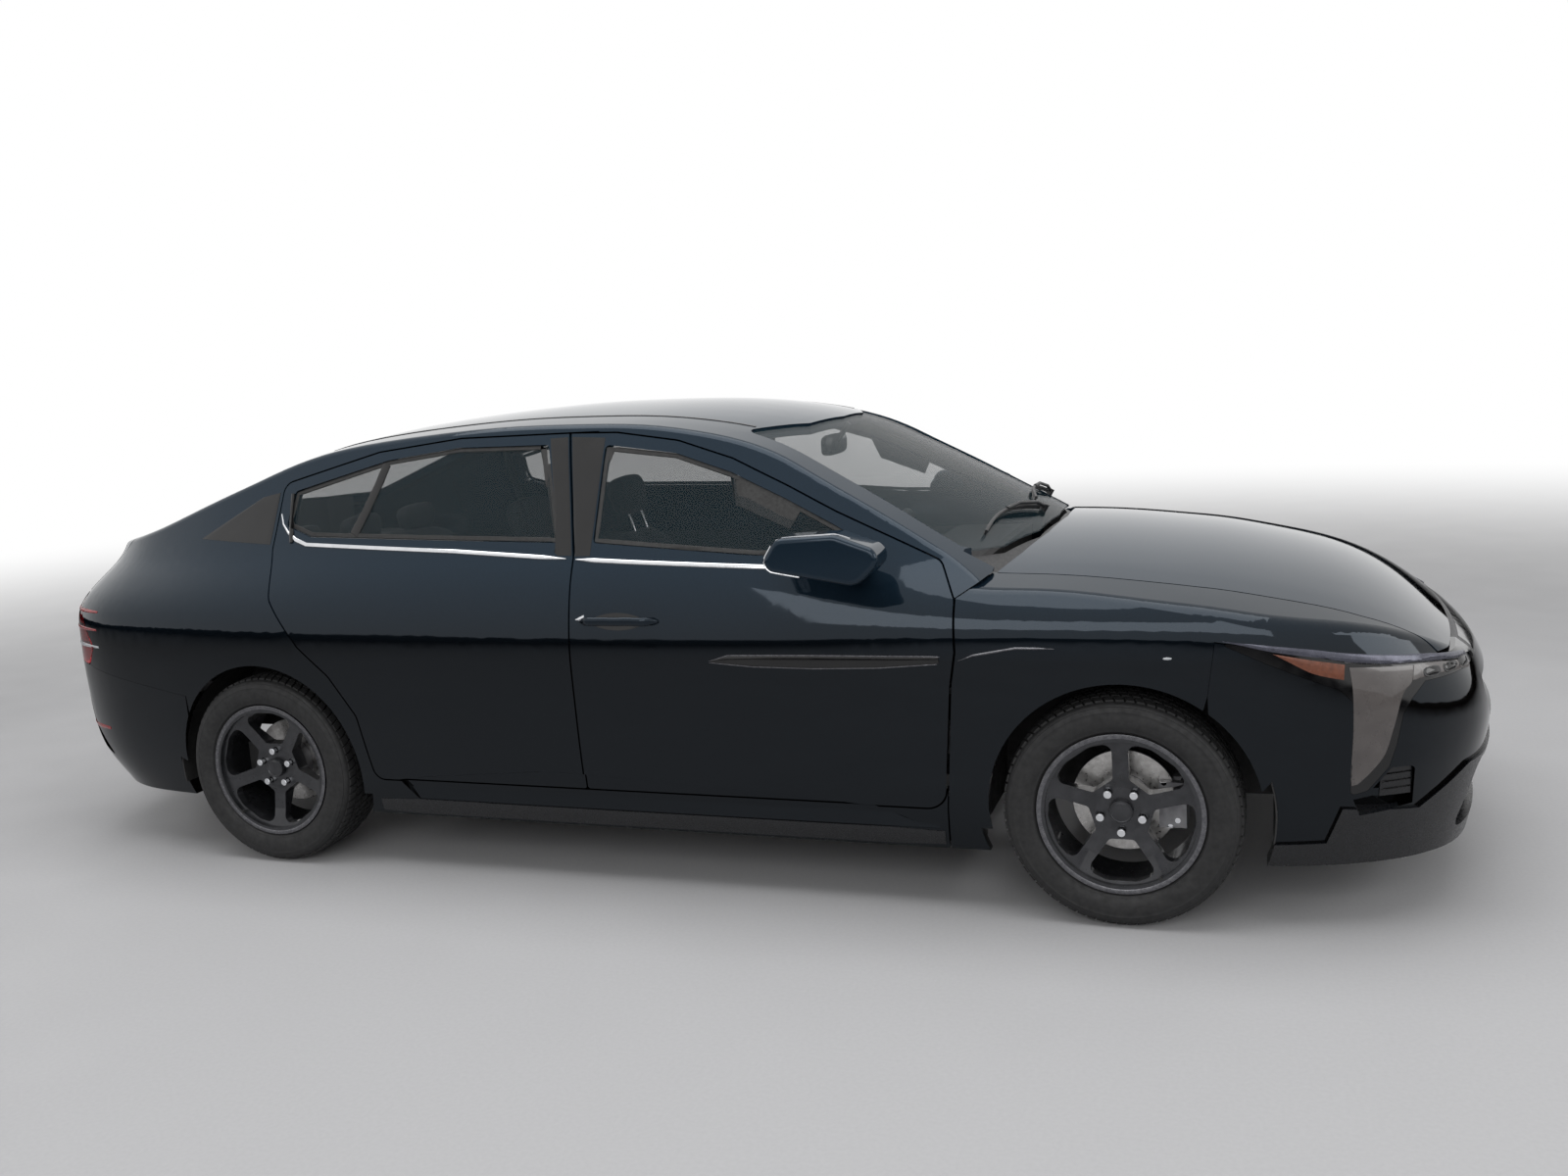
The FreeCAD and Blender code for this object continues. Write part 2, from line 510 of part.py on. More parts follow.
def slatted(outline, low, high, pitch, thickness, rib_span, rib_pitch):
    bars = []
    rows = int((high - low) / pitch)
    for i in range(rows + 1):
        z = low + i * pitch
        bars.append(block(X(2100), X(2450), -Y(700), Y(700), Z(z), Z(z) + thickness))
    ribs = int(rib_span / rib_pitch)
    for i in range(-ribs, ribs + 1):
        bars.append(block(X(2100), X(2450), Y(i * rib_pitch) - 4, Y(i * rib_pitch) + 4, Z(low), Z(high)))
    hole = prism(outline, "yz", X(2150), X(2450), grow=-clear)
    rim = hole.cut(prism(outline, "yz", X(2100), X(2480), grow=-9))
    shell = grille_outer.common(hole).cut(grille_back)
    return shell.common(rim.multiFuse([b.common(hole) for b in bars]))


grille = slatted(GRILLE_FRONT, 500, 590, 24, 7, 450, 150)
intake = slatted(INTAKE_FRONT, 250, 390, 34, 8, 600, 150)
band = lower.common(block(X(2100), X(2450), INBOARD + 0.3, -INBOARD - 0.3, Z(649), Z(696))).cut(front_inner)
keep("grille", Part.makeCompound(solid_of(grille).Solids + solid_of(intake).Solids + band.Solids))

# Tail
tail_inner = body_sides(skin, skin, skin).common(under(ROOF_LINE, size("roof_thickness")))
lid_low = Z(735)
lid = upper.common(prism(symmetric_outline(BOOT_HALF), "xy", lid_low, Z(1500), grow=-gap / 2)).cut(tail_inner)
keep("boot_lid", largest(lid))
lid_seal = prism(symmetric_outline(BOOT_HALF), "xy", Z(900), Z(1500), grow=8)
lid_seal = lid_seal.cut(prism(symmetric_outline(BOOT_HALF), "xy", Z(900), Z(1500), grow=-14))
lid_seal = lid_seal.common(under(ROOF_LINE, size("roof_thickness") + clear))
lid_seal = lid_seal.cut(under(ROOF_LINE, size("roof_thickness") + seal))
lid_seal = lid_seal.common(body_sides(60 + clear, 60 + clear, 60))
tail_lamp = upper.common(prism(TAIL_LAMP_SIDE, "xz", FAR_OUT, -Y(560), grow=-joint / 2)).cut(tail_inner)
tail_lamp = tail_lamp.cut(boot_hole)
keep("tail_lamps", both_sides(largest(tail_lamp)))
rear_face = upper.common(prism(REAR_BUMPER_SIDE, "xz", -Y(1000), Y(1000)))
centre = upper.common(block(X(-2450), X(-2250), -Y(556), Y(556), Z(640), lid_low - gap))
rear_bumper = rear_face.fuse(centre).cut(bumper_inner).cut(belly)
vent = prism(REAR_VENT, "xz", FAR_OUT, -Y(560)).cut(right_sides(26, 26, 26))
plate_place = block(X(-2450), X(-2352), -Y(265), Y(265), Z(415), Z(540))
diffuser_block = block(X(-2450), X(-2100), -Y(540), Y(540), 0, Z(330))
rear_bumper = rear_bumper.cut([rear_well, mirrored(rear_well), vent, mirrored(vent), plate_place])
keep("rear_diffuser", largest(rear_bumper.common(diffuser_block)))
keep("rear_bumper", largest(rear_bumper.cut(block(X(-2450), X(-2100), -Y(540) - joint, Y(540) + joint, 0,
                                                  Z(330) + joint))))

strip_face = outline_face(symmetric_outline([(-1992.5, 0), (-1977.5, 400), (-1902, 610), (-1902, 612),
                                             (-1922, 612), (-1994, 400), (-2009, 0)]), "xy")
shelf = block(X(-2000), X(-1575), -Y(560), Y(560), Z(905), Z(925))
riser = upper.common(extruded(strip_face, "xy", Z(905), Z(1200)))
riser = riser.cut(boot_hole).cut(rear_screen_hole).cut(block(X(-2100), X(-1800), -Y(900), -deck_y, 0, 2000))
riser = riser.cut(block(X(-2100), X(-1800), deck_y, Y(900), 0, 2000))
keep("parcel_shelf", solid_of(riser.fuse(shelf)))
keep("boot_seal", largest(lid_seal.cut(riser)))

# Floor, with tunnel, firewall and boot floor
side_y = Y(739)
floor = block(X(-1700), FIREWALL, -side_y, side_y, Z(size("floor_bottom")) + 22, FLOOR_TOP)
floor = floor.cut(block(X(-1700), X(-940), -side_y, side_y, 0, FLOOR_TOP + 1))
rear_floor = block(X(-2300), X(-935), -Y(600), Y(600), Z(380), Z(410)).common(bumper_inner)
heel = block(X(-960), X(-935), -Y(590), Y(590), Z(230), Z(410))
firewall = block(FIREWALL, FIREWALL + 30, -Y(700), Y(700), Z(200), DASH_TOP)
tunnel = block(X(-935), FIREWALL, -110, 110, FLOOR_TOP, FLOOR_TOP + 90)
rails = []
TOWER_TOP = size("kingpin_upper_z") + 8
for s in (RIGHT, LEFT):
    rails.append(block(FIREWALL + 30, X(2180), s * 330, s * 400, Z(400), Z(480)))
    rails.append(block(FRONT_AXLE - 110, FRONT_AXLE + 110, s * 400, s * 426, Z(480), TOWER_TOP + 8))
    rails.append(block(FRONT_AXLE - 110, FRONT_AXLE + 110, s * 400, s * 690, TOWER_TOP, TOWER_TOP + 8))
    rails.append(block(FRONT_AXLE - 110, FRONT_AXLE + 110, s * 385, s * 426, Z(440), Z(490)))
support = block(X(2180), X(2210), -Y(520), Y(520), Z(400), Z(480))
for s in (RIGHT, LEFT):
    stop = Part.makeCylinder(12, Z(360), Vector(X(2195), s * Y(300), Z(470)))
    rails.append(stop.common(under(BONNET_LINE, skin + clear)))
floor_pan = floor.multiFuse([rear_floor, heel, firewall, tunnel, support] + rails)
keep("floor_pan", solid_of(floor_pan))

# Wheel arch liners: a thin hood over each tyre with a wall on its inner side
def liner(axle, inner_y, opening):
    x, z, r = axle + 6, HUB_Z + 4, ARCH_RADIUS + 29.5
    hood = cylinder_y(x, z, r, -Y(876), -inner_y).cut(cylinder_y(x, z, r - 4, -Y(900), -inner_y - 4))
    return hood.cut(block(x - 500, x + 500, -Y(1000), 0, -Z(200), FLOOR_TOP + clear)).cut(opening)


strut_gap = block(FRONT_AXLE - 80, FRONT_AXLE + 80, -Y(700), -474, 560, 800)
front_liner = liner(FRONT_AXLE, 470, strut_gap)
tower_bracket = block(FRONT_AXLE - 90, FRONT_AXLE + 90, -470, -426 - clear, Z(500), Z(620))
axle_gap = block(REAR_AXLE - 500, REAR_AXLE + 500, -640, 0, 0, Z(410))
rear_liner = liner(REAR_AXLE, Y(600) + clear, axle_gap)
liners = [front_liner.fuse(tower_bracket), rear_liner]
keep("wheel_liners", Part.makeCompound([s for one in liners for s in both_sides(one).Solids]))

# Power unit, radiator, exhaust and tank
engine = block(X(1230), X(1230) + size("engine_length"), -size("engine_width") / 2,
               size("engine_width") / 2, 300, 300 + size("engine_height"))
keep("engine_block", engine)
keep("radiator", block(X(2150), X(2180), -329, 329, Z(250), Z(640)))
keep("subframe", block(X(1150), X(1700), -329, -250, Z(190), Z(240)).multiFuse(
    [block(X(1150), X(1700), 250, 329, Z(190), Z(240)), block(X(1150), X(1230), -300, 300, Z(190), Z(240)),
     block(X(1620), X(1700), -300, 300, Z(190), Z(240)),
     block(X(1400), X(1440), -300, 300, Z(200), Z(300)),
     block(X(1640), X(1700), -399, -331, Z(190), Z(400)), block(X(1640), X(1700), 331, 399, Z(190), Z(400)),
     block(X(1640), X(1700), -331, -300, Z(190), Z(240)), block(X(1640), X(1700), 300, 331, Z(190), Z(240)),
     block(FIREWALL + 30, X(1150), 250, 329, Z(200), Z(240)),
     block(FIREWALL + 30, X(1150), -329, -250, Z(200), Z(240))]))
exhaust = pipe([Vector(X(1230) - clear, 0, 380), Vector(X(1100), 0, 300), Vector(X(1060), 0, 174),
                Vector(X(-955), 0, 174), Vector(X(-1500), 150, 255), Vector(X(-1800), 380, 300)], 22)
exhaust = exhaust.cut(block(X(1230) - clear, X(1400), -80, 80, 200, 600))
muffler = block(X(-2120), X(-1750), 250, 520, 250, Z(380) - clear)
keep("exhaust", exhaust.fuse(muffler))

# Steering axis of the right front wheel
KING_LOW = Vector(FRONT_AXLE, -size("kingpin_lower_y"), size("kingpin_lower_z"))
KING_HIGH = Vector(FRONT_AXLE, -size("kingpin_upper_y"), size("kingpin_upper_z"))
KING = (KING_HIGH - KING_LOW).normalize()


def on_king(distance):
    return KING_LOW + KING * distance


KING_LENGTH = (KING_HIGH - KING_LOW).Length
running = size("running_clearance")

# Knuckle: strut tube, spring seat, hub carrier, spindle and caliper
carrier_in, carrier_out = 660, HALF_TRACK - 72
hub_point_y = -(HALF_TRACK - 70)
knuckle = Part.makeCylinder(24, KING_LENGTH - clear, KING_LOW, KING)
knuckle = knuckle.cut(block(FRONT_AXLE - 60, FRONT_AXLE + 60, -carrier_out - 200, -carrier_out, 0, 700))
carrier = cylinder_y(FRONT_AXLE, HUB_Z, 48, -carrier_out, -carrier_in)
spindle = cylinder_y(FRONT_AXLE, HUB_Z, size("spindle_radius"), -HALF_TRACK - 20, -carrier_out + 5)
seat = Part.makeCylinder(62, 8, on_king(490), KING)
top_seat = Part.makeCylinder(62, 8, on_king(KING_LENGTH - 30), KING)
disc_out, disc_in = HALF_TRACK - 36, HALF_TRACK - 60


def caliper(axle, direction):
    r = size("disc_radius")
    x0, x1 = axle + direction * (r - 48), axle + direction * (r + 22)
    outer_pad = block(x0, x1, -(disc_out + 4), -(disc_out + 26), HUB_Z - 62, HUB_Z + 62)
    inner_pad = block(x0, x1, -(disc_in - 4), -(disc_in - 44), HUB_Z - 62, HUB_Z + 62)
    bridge = block(axle + direction * (r + 6), x1, -(disc_out + 26), -(disc_in - 44), HUB_Z - 62, HUB_Z + 62)
    arm = block(axle, axle + direction * (r - 40), -(disc_in - 14), -(disc_in - 40), HUB_Z - 26, HUB_Z + 26)
    around = cylinder_y(axle, HUB_Z, r + 6, -disc_out - 3, -disc_in + 3)
    return outer_pad.multiFuse([inner_pad, bridge, arm]).cut(around)


knuckle = knuckle.multiFuse([carrier, spindle, seat, top_seat, caliper(FRONT_AXLE, 1)])
keep_pair("knuckle", solid_of(knuckle))

# Lower arms and strut towers
arm_boss = Part.makeCylinder(24, 30, on_king(-30 - clear), KING)
arm_blade = block(FRONT_AXLE - 30, FRONT_AXLE + 30, -size("kingpin_lower_y") + 5, -330,
                  KING_LOW.z - 28, KING_LOW.z - 8)
arm_leg = bar(Vector(X(1240), -329, Z(215)), Vector(FRONT_AXLE - 10, -600, KING_LOW.z - 18), 12)
arm = arm_blade.multiFuse([arm_boss, arm_leg]).cut(block(X(1000), X(1800), -329.5, 0, 0, 400))
keep("lower_arms", both_sides(solid_of(arm)))
tower = Part.makeCylinder(60, 22, on_king(KING_LENGTH), KING).cut(
    block(FRONT_AXLE - 300, FRONT_AXLE + 300, -900, 0, TOWER_TOP, 1200))
keep("strut_mounts", both_sides(tower))

# Rear axle: beam, trailing arms, spindles and calipers
beam_x, pivot_x = REAR_AXLE + 130, X(-960) - 34 - clear
beam = bar(Vector(beam_x, -570, HUB_Z - 20), Vector(beam_x, 570, HUB_Z - 20), 35)
trailing = []
for s in (RIGHT, LEFT):
    trailing.append(bar(Vector(pivot_x, s * 560, Z(300)), Vector(REAR_AXLE, s * 600, HUB_Z), 26))
    trailing.append(bar(Vector(pivot_x, s * 530, Z(300)), Vector(pivot_x, s * 590, Z(300)), 34))
    trailing.append(cylinder_y(REAR_AXLE, HUB_Z, 45, s * 560, s * carrier_out))
    trailing.append(cylinder_y(REAR_AXLE, HUB_Z, size("spindle_radius"), s * 600, s * (HALF_TRACK + 20)))
    trailing.append(bar(Vector(beam_x, s * 480, HUB_Z - 20), Vector(beam_x, s * 480, Z(380) - clear), 45))
rear_caliper = caliper(REAR_AXLE, -1)
rear_axle = beam.multiFuse(trailing + [rear_caliper, mirrored(rear_caliper)])
keep("rear_axle", solid_of(rear_axle))


# Wheels
def ring_profile(points):
    vectors = [Vector(r, s, 0) for s, r in points]
    face = Part.Face(Part.makePolygon(vectors + [vectors[0]]))
    return face.revolve(Vector(0, 0, 0), Vector(0, 1, 0), 360)


half_tyre = size("tyre_width") / 2
outer_r, rim_r = size("tyre_radius"), size("rim_radius")
bead_r = rim_r - 12
lip_s = half_tyre - 19
tyre_profile = [(clear - lip_s, bead_r), (clear - lip_s, rim_r + 2), (-half_tyre + 7, rim_r + 8),
                (-half_tyre, outer_r - 50),
                (-half_tyre + 5, outer_r - 20), (-half_tyre + 18, outer_r - 6), (-half_tyre + 42, outer_r - 1),
                (0, outer_r), (half_tyre - 42, outer_r - 1), (half_tyre - 18, outer_r - 6),
                (half_tyre - 5, outer_r - 20), (half_tyre, outer_r - 50), (half_tyre - 7, rim_r + 8),
                (lip_s - clear, rim_r + 2), (lip_s - clear, bead_r), (half_tyre - 32, bead_r), (half_tyre - 12, outer_r - 50),
                (half_tyre - 32, outer_r - 14), (-half_tyre + 32, outer_r - 14), (-half_tyre + 12, outer_r - 50),
                (-half_tyre + 32, bead_r)]
tyre = ring_profile(tyre_profile)
barrel_r = bead_r - clear
rim_profile = [(-lip_s - 8, rim_r), (-lip_s, rim_r), (-lip_s, barrel_r), (lip_s, barrel_r), (lip_s, rim_r),
               (lip_s + 8, rim_r), (lip_s + 8, barrel_r - 9), (-lip_s - 8, barrel_r - 9)]
rim_barrel = ring_profile(rim_profile)
dish_profile = [(50, 0), (50, 62), (62, 140), (76, barrel_r - 4), (50, barrel_r - 4), (34, 140), (0, 66),
                (0, 0)]
dish = ring_profile(dish_profile)
SPOKES = 5
spoke_half, opening_in, opening_out = size("spoke_width") / 2, 86.0, rim_r - 29


def opening_corner(radius, share):
    reach = math.radians(180.0 / SPOKES) - math.asin(spoke_half / radius)
    return Vector(radius * math.cos(reach * share), 0, radius * math.sin(reach * share))


outline = [(opening_corner(opening_in, -1), 14), (opening_corner(opening_out, -1), 22),
           (opening_corner(opening_out + 3, -0.4), 60), (opening_corner(opening_out + 3, 0.4), 60),
           (opening_corner(opening_out, 1), 22), (opening_corner(opening_in, 1), 14)]
opening = Part.Face(rounded_wire(outline)).extrude(Vector(0, 200, 0))
opening.translate(Vector(0, -30, 0))
hub_disc = cylinder_y(0, 0, size("disc_radius"), disc_in - HALF_TRACK, disc_out - HALF_TRACK)
hat = cylinder_y(0, 0, 70, disc_in - HALF_TRACK, 1)
bore = cylinder_y(0, 0, size("spindle_radius") + running, -80, 22)


def at_angle(shape, degrees):
    turned = shape.copy()
    turned.rotate(Vector(0, 0, 0), Vector(0, 1, 0), -degrees)
    return turned


openings = [at_angle(opening, 54 + i * 360.0 / SPOKES) for i in range(SPOKES)]
lug_bore = cylinder_y(size("lug_circle") / 2, 0, 11, 30, 80)
lug_bores = [at_angle(lug_bore, 54 + i * 360.0 / SPOKES) for i in range(SPOKES)]
face_part = dish.cut(openings)
rim = rim_barrel.multiFuse([face_part, hub_disc, hat]).cut([bore] + lug_bores)
for name, axle, turn in (("front", FRONT_AXLE, 0), ("rear", REAR_AXLE, 36)):
    for side, word in ((RIGHT, "right"), (LEFT, "left")):
        for stem, shape in (("tyre", tyre), ("rim", at_angle(rim, turn))):
            placed = shape.copy()
            if side == RIGHT:
                placed = placed.mirror(Vector(0, 0, 0), Vector(0, 1, 0))
            placed.translate(Vector(axle, side * HALF_TRACK, HUB_Z))
            keep("%s_%s_%s" % (stem, name, word), solid_of(placed))

# Cabin
dash = block(X(620), FIREWALL - clear, -Y(690), Y(690), Z(620), DASH_TOP)
dash = dash.makeFillet(60, [e for e in dash.Edges if e.BoundBox.YLength > 900 and e.BoundBox.XMax < X(700)])
console = block(X(-100), X(640), -90, 90, FLOOR_TOP + 90, Z(560)).fuse(
    block(X(560), X(700), -90, 90, FLOOR_TOP + 90, Z(700)))
column_top = Vector(X(500), 370, Z(800))
tilt = math.radians(size("steering_column_tilt"))
column_axis = Vector(-math.cos(tilt), 0, math.sin(tilt))
column = Part.makeCylinder(28, 200, column_top - column_axis * 200, column_axis)
keep("dashboard", solid_of(dash.multiFuse([console, column])))
wheel_r = size("steering_wheel_diameter") / 2
wheel_centre = column_top + column_axis * 30
grip = Part.makeTorus(wheel_r - 16, 16, wheel_centre, column_axis)
boss = Part.makeCylinder(60, 45, column_top + column_axis * clear, column_axis)
across = Vector(0, 1, 0)
spoke_bar = bar(wheel_centre - across * (wheel_r - 14), wheel_centre + across * (wheel_r - 14), 13)
down = column_axis.cross(across)
if down.z > 0:
    down = down * -1
spoke_low = bar(wheel_centre, wheel_centre + down * (wheel_r - 14), 13)
keep("steering_wheel", solid_of(grip.multiFuse([boss, spoke_bar, spoke_low])))


def seat_shape(width, x_back, base_z):
    cushion = block(x_back, x_back + 500, -width / 2, width / 2, base_z, base_z + 170)
    cushion = cushion.makeFillet(45, cushion.Edges)
    back = block(x_back - 120, x_back + 20, -width / 2, width / 2, base_z + 60, base_z + 680)
    back = back.makeFillet(45, back.Edges)
    back.rotate(Vector(x_back, 0, base_z + 100), Vector(0, 1, 0), -18)
    head = block(x_back - 60, x_back + 30, -130, 130, base_z + 700, base_z + 870)
    head = head.makeFillet(35, head.Edges)
    head.rotate(Vector(x_back, 0, base_z + 100), Vector(0, 1, 0), -18)
    return cushion.fuse(back), head


seat_body, headrest = seat_shape(500, X(-330), FLOOR_TOP + 60)
post = block(-10, 10, -60, 60, 0, 120)
seats = []
for s in (RIGHT, LEFT):
    one = seat_body.fuse(headrest)
    neck = block(X(-330) - 30, X(-330) - 10, -60, 60, FLOOR_TOP + 680, FLOOR_TOP + 800)
    neck.rotate(Vector(X(-330), 0, FLOOR_TOP + 160), Vector(0, 1, 0), -18)
    base = block(X(-330) + 60, X(-330) + 440, -180, 180, FLOOR_TOP, FLOOR_TOP + 90)
    one = one.multiFuse([neck, base])
    one.translate(Vector(0, s * 370, 0))
    seats += solid_of(one).Solids
keep("front_seats", Part.makeCompound(seats))
bench = block(X(-1330), X(-860), -Y(600), Y(600), Z(411), Z(560))
bench = bench.makeFillet(40, bench.Edges)
bench_back = block(X(-1400), X(-1280), -Y(600), Y(600), Z(440), Z(1010))
bench_back = bench_back.makeFillet(40, bench_back.Edges)
bench_back.rotate(Vector(X(-1340), 0, Z(440)), Vector(0, 1, 0), -18)
keep("rear_bench", solid_of(bench.fuse(bench_back)))

# Mirrors
mirror_outline = [(484, 984, 30), (538, 1069, 40), (702, 1077, 60), (850, 1024, 40), (758, 938, 60)]
mirror = prism(mirror_outline, "xz", -Y(1020), -Y(900))
mirror = mirror.makeFillet(14, [e for e in mirror.Edges if e.BoundBox.YLength < 1])
foot = block(X(690), X(760), -Y(905), -Y(790), Z(955), Z(985))
door_local = half.common(block(X(450), X(900), -Y(1100), -Y(700), Z(850), Z(1150)))
mirror = mirror.fuse(foot).cut(door_local)
keep_pair("mirror", largest(mirror))

for name, shape in pieces.items():
    feature = doc.addObject("Part::Feature", name)
    feature.Shape = shape
    feature.Label = name
doc.recompute()
os.makedirs("parts", exist_ok=True)
for item in doc.Objects:
    if "Invalid" in item.State or "Error" in item.State:
        raise RuntimeError("failed object " + item.Label)
for name in pieces:
    shape = doc.getObject(name).Shape
    if shape.isNull() or not shape.isValid():
        raise RuntimeError("bad shape " + name)
for name in pieces:
    doc.getObject(name).Shape.exportStep(os.path.join("parts", name + ".step"))
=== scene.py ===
import math

import bmesh
import bpy
from mathutils import Matrix, Vector
from mathutils.bvhtree import BVHTree


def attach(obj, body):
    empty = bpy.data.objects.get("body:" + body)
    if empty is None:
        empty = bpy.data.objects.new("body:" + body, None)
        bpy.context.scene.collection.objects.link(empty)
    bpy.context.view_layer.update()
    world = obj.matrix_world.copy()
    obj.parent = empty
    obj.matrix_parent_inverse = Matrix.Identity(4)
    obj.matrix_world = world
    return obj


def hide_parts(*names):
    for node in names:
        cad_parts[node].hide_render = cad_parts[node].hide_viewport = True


# Dark fastback sedan in a pale studio. Metres, +X forward, +Y to the car's left, +Z up.
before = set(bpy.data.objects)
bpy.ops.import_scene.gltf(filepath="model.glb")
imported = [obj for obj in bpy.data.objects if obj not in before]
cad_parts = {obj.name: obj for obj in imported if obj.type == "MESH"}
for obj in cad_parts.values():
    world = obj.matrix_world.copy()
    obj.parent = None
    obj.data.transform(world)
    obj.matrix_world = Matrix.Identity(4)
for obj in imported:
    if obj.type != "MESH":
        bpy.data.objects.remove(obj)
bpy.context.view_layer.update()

RIGHT, LEFT = -1, 1
SIDES = ((RIGHT, "right"), (LEFT, "left"))
FRONT_AXLE, REAR_AXLE, HALF_TRACK, HUB_HEIGHT = 1.408, -1.312, 0.805, 0.312


def linked(name, data):
    """A new object in the scene."""
    made = bpy.data.objects.new(name, data)
    bpy.context.scene.collection.objects.link(made)
    return made


def baked(made):
    """The mesh of an object with its modifiers applied."""
    return bpy.data.meshes.new_from_object(made.evaluated_get(bpy.context.evaluated_depsgraph_get()))


def smoothed(mesh, degrees):
    """Smooth shading, with sharp edges from an angle on."""
    mesh.shade_smooth()
    mesh.set_sharp_from_angle(angle=math.radians(degrees))


# Camera and light
CAMERA_PLACE = (1.7879, -4.419, 1.5348)
YAW, PITCH, ROLL = -0.3468, -0.1638, -0.0605


def place_camera():
    """The camera that the photo was solved for."""
    ahead = Vector((math.sin(YAW) * math.cos(PITCH), math.cos(YAW) * math.cos(PITCH), math.sin(PITCH)))
    level_right = Vector((math.cos(YAW), -math.sin(YAW), 0))
    level_up = level_right.cross(ahead)
    right = level_right * math.cos(ROLL) + level_up * math.sin(ROLL)
    up = level_up * math.cos(ROLL) - level_right * math.sin(ROLL)
    data = bpy.data.cameras.new("camera")
    data.lens = 31.6
    data.sensor_width = 36
    data.sensor_fit = "HORIZONTAL"
    camera = linked("camera", data)
    turn = Matrix((right, up, -ahead)).transposed().to_4x4()
    camera.matrix_world = Matrix.Translation(CAMERA_PLACE) @ turn
    bpy.context.scene.camera = camera


def area_lamp(name, place, target, width, depth, power):
    data = bpy.data.lights.new(name, "AREA")
    data.shape = "RECTANGLE"
    data.size, data.size_y = width, depth
    data.energy = power
    lamp = linked(name, data)
    lamp.location = place
    lamp.rotation_euler = (Vector(target) - Vector(place)).to_track_quat("-Z", "Y").to_euler()


place_camera()
area_lamp("roof_light", (0.0, -0.8, 5.5), (0, 0, 0.6), 7.0, 4.5, 240)
area_lamp("side_light", (1.5, -7.0, 3.6), (0.2, 0, 0.6), 7.0, 2.6, 150)
area_lamp("nose_light", (7.0, -1.0, 3.0), (0.8, 0, 0.6), 3.6, 2.4, 80)
area_lamp("far_light", (-6.5, 4.5, 3.0), (0, 0, 0.6), 2.6, 1.4, 16)


# Node trees, for finishes and for what repeats
class Nodes:
    def __init__(self, tree):
        self.tree = tree

    def node(self, kind, settings, **inputs):
        """Adds a node and gives its outputs. Inputs go by name, or by number as n0, n1 and so on."""
        made = self.tree.nodes.new(kind)
        for key, value in settings.items():
            setattr(made, key, value)
        for key, value in inputs.items():
            numbered = key[0] == "n" and key[1:].isdigit()
            socket = made.inputs[int(key[1:]) if numbered else key.replace("_", " ")]
            if isinstance(value, bpy.types.NodeSocket):
                self.tree.links.new(value, socket)
            else:
                socket.default_value = value
        return made.outputs


# Materials. Every finish is built from shader nodes on Object coordinates.
class Finish(Nodes):
    def __init__(self, name):
        self.material = bpy.data.materials.new(name)
        self.material.use_nodes = True
        super().__init__(self.material.node_tree)
        self.shader = self.tree.nodes["Principled BSDF"]
        self.coords = self.node("ShaderNodeTexCoord", {})["Object"]

    def link(self, output, name):
        self.tree.links.new(output, self.shader.inputs[name])

    def fix(self, name, value):
        self.shader.inputs[name].default_value = value

    def noise(self, scale, detail=4.0, stretch=(1, 1, 1)):
        mapped = self.node("ShaderNodeMapping", {}, Vector=self.coords, Scale=stretch)[0]
        return self.node("ShaderNodeTexNoise", {}, Vector=mapped, Scale=scale, Detail=detail)["Fac"]

    def spread(self, factor, low, high):
        """Stretches the middle of a noise over low to high."""
        return self.node("ShaderNodeMapRange", {}, Value=factor, From_Min=0.3, From_Max=0.7, To_Min=low,
                         To_Max=high)["Result"]

    def tone(self, factor, dark, light):
        return self.node("ShaderNodeMix", {"data_type": "RGBA"}, Factor=factor, A=(*dark, 1),
                         B=(*light, 1))["Result"]

    def bump(self, height, strength, distance):
        bumped = self.node("ShaderNodeBump", {}, Height=height, Strength=strength, Distance=distance)
        self.link(bumped["Normal"], "Normal")


def finish(name, dark, light, rough, scale=30.0, metallic=0.0, grain=None, coat=0.0, stretch=(1, 1, 1)):
    """A finish that varies from dark to light and over a range of roughness, with a grain if one is given."""
    made = Finish(name)
    blotch = made.noise(scale, 5.0, stretch)
    made.link(made.tone(made.spread(blotch, 0, 1), dark, light), "Base Color")
    made.link(made.spread(made.noise(scale * 2.3, 3.0, stretch), *rough), "Roughness")
    made.fix("Metallic", metallic)
    if coat:
        made.fix("Coat Weight", coat)
        made.fix("Coat Roughness", 0.02)
    if grain:
        grain_scale, strength, distance = grain
        made.bump(made.noise(grain_scale, 3.0, stretch), strength, distance)
    return made.material


def red_lens():
    """Clear red plastic."""
    made = Finish("red_lamp_lens")
    made.link(made.tone(made.noise(1.4, 2.0), (0.28, 0.006, 0.010), (0.42, 0.010, 0.014)), "Base Color")
    made.link(made.spread(made.noise(6.0, 4.0), 0.03, 0.08), "Roughness")
    made.fix("Transmission Weight", 1.0)
    made.fix("IOR", 1.46)
    return made.material


def tinted_pane(name, dark, light, cover):
    """Thin tinted glass: mostly clear, with a faint tone of its own."""
    made = Finish(name)
    made.link(made.tone(made.spread(made.noise(1.2, 3.0), 0, 1), dark, light), "Base Color")
    made.link(made.spread(made.noise(5.0, 4.0), 0.0, 0.02), "Roughness")
    made.fix("Alpha", cover)
    made.fix("IOR", 1.45)
    return made.material


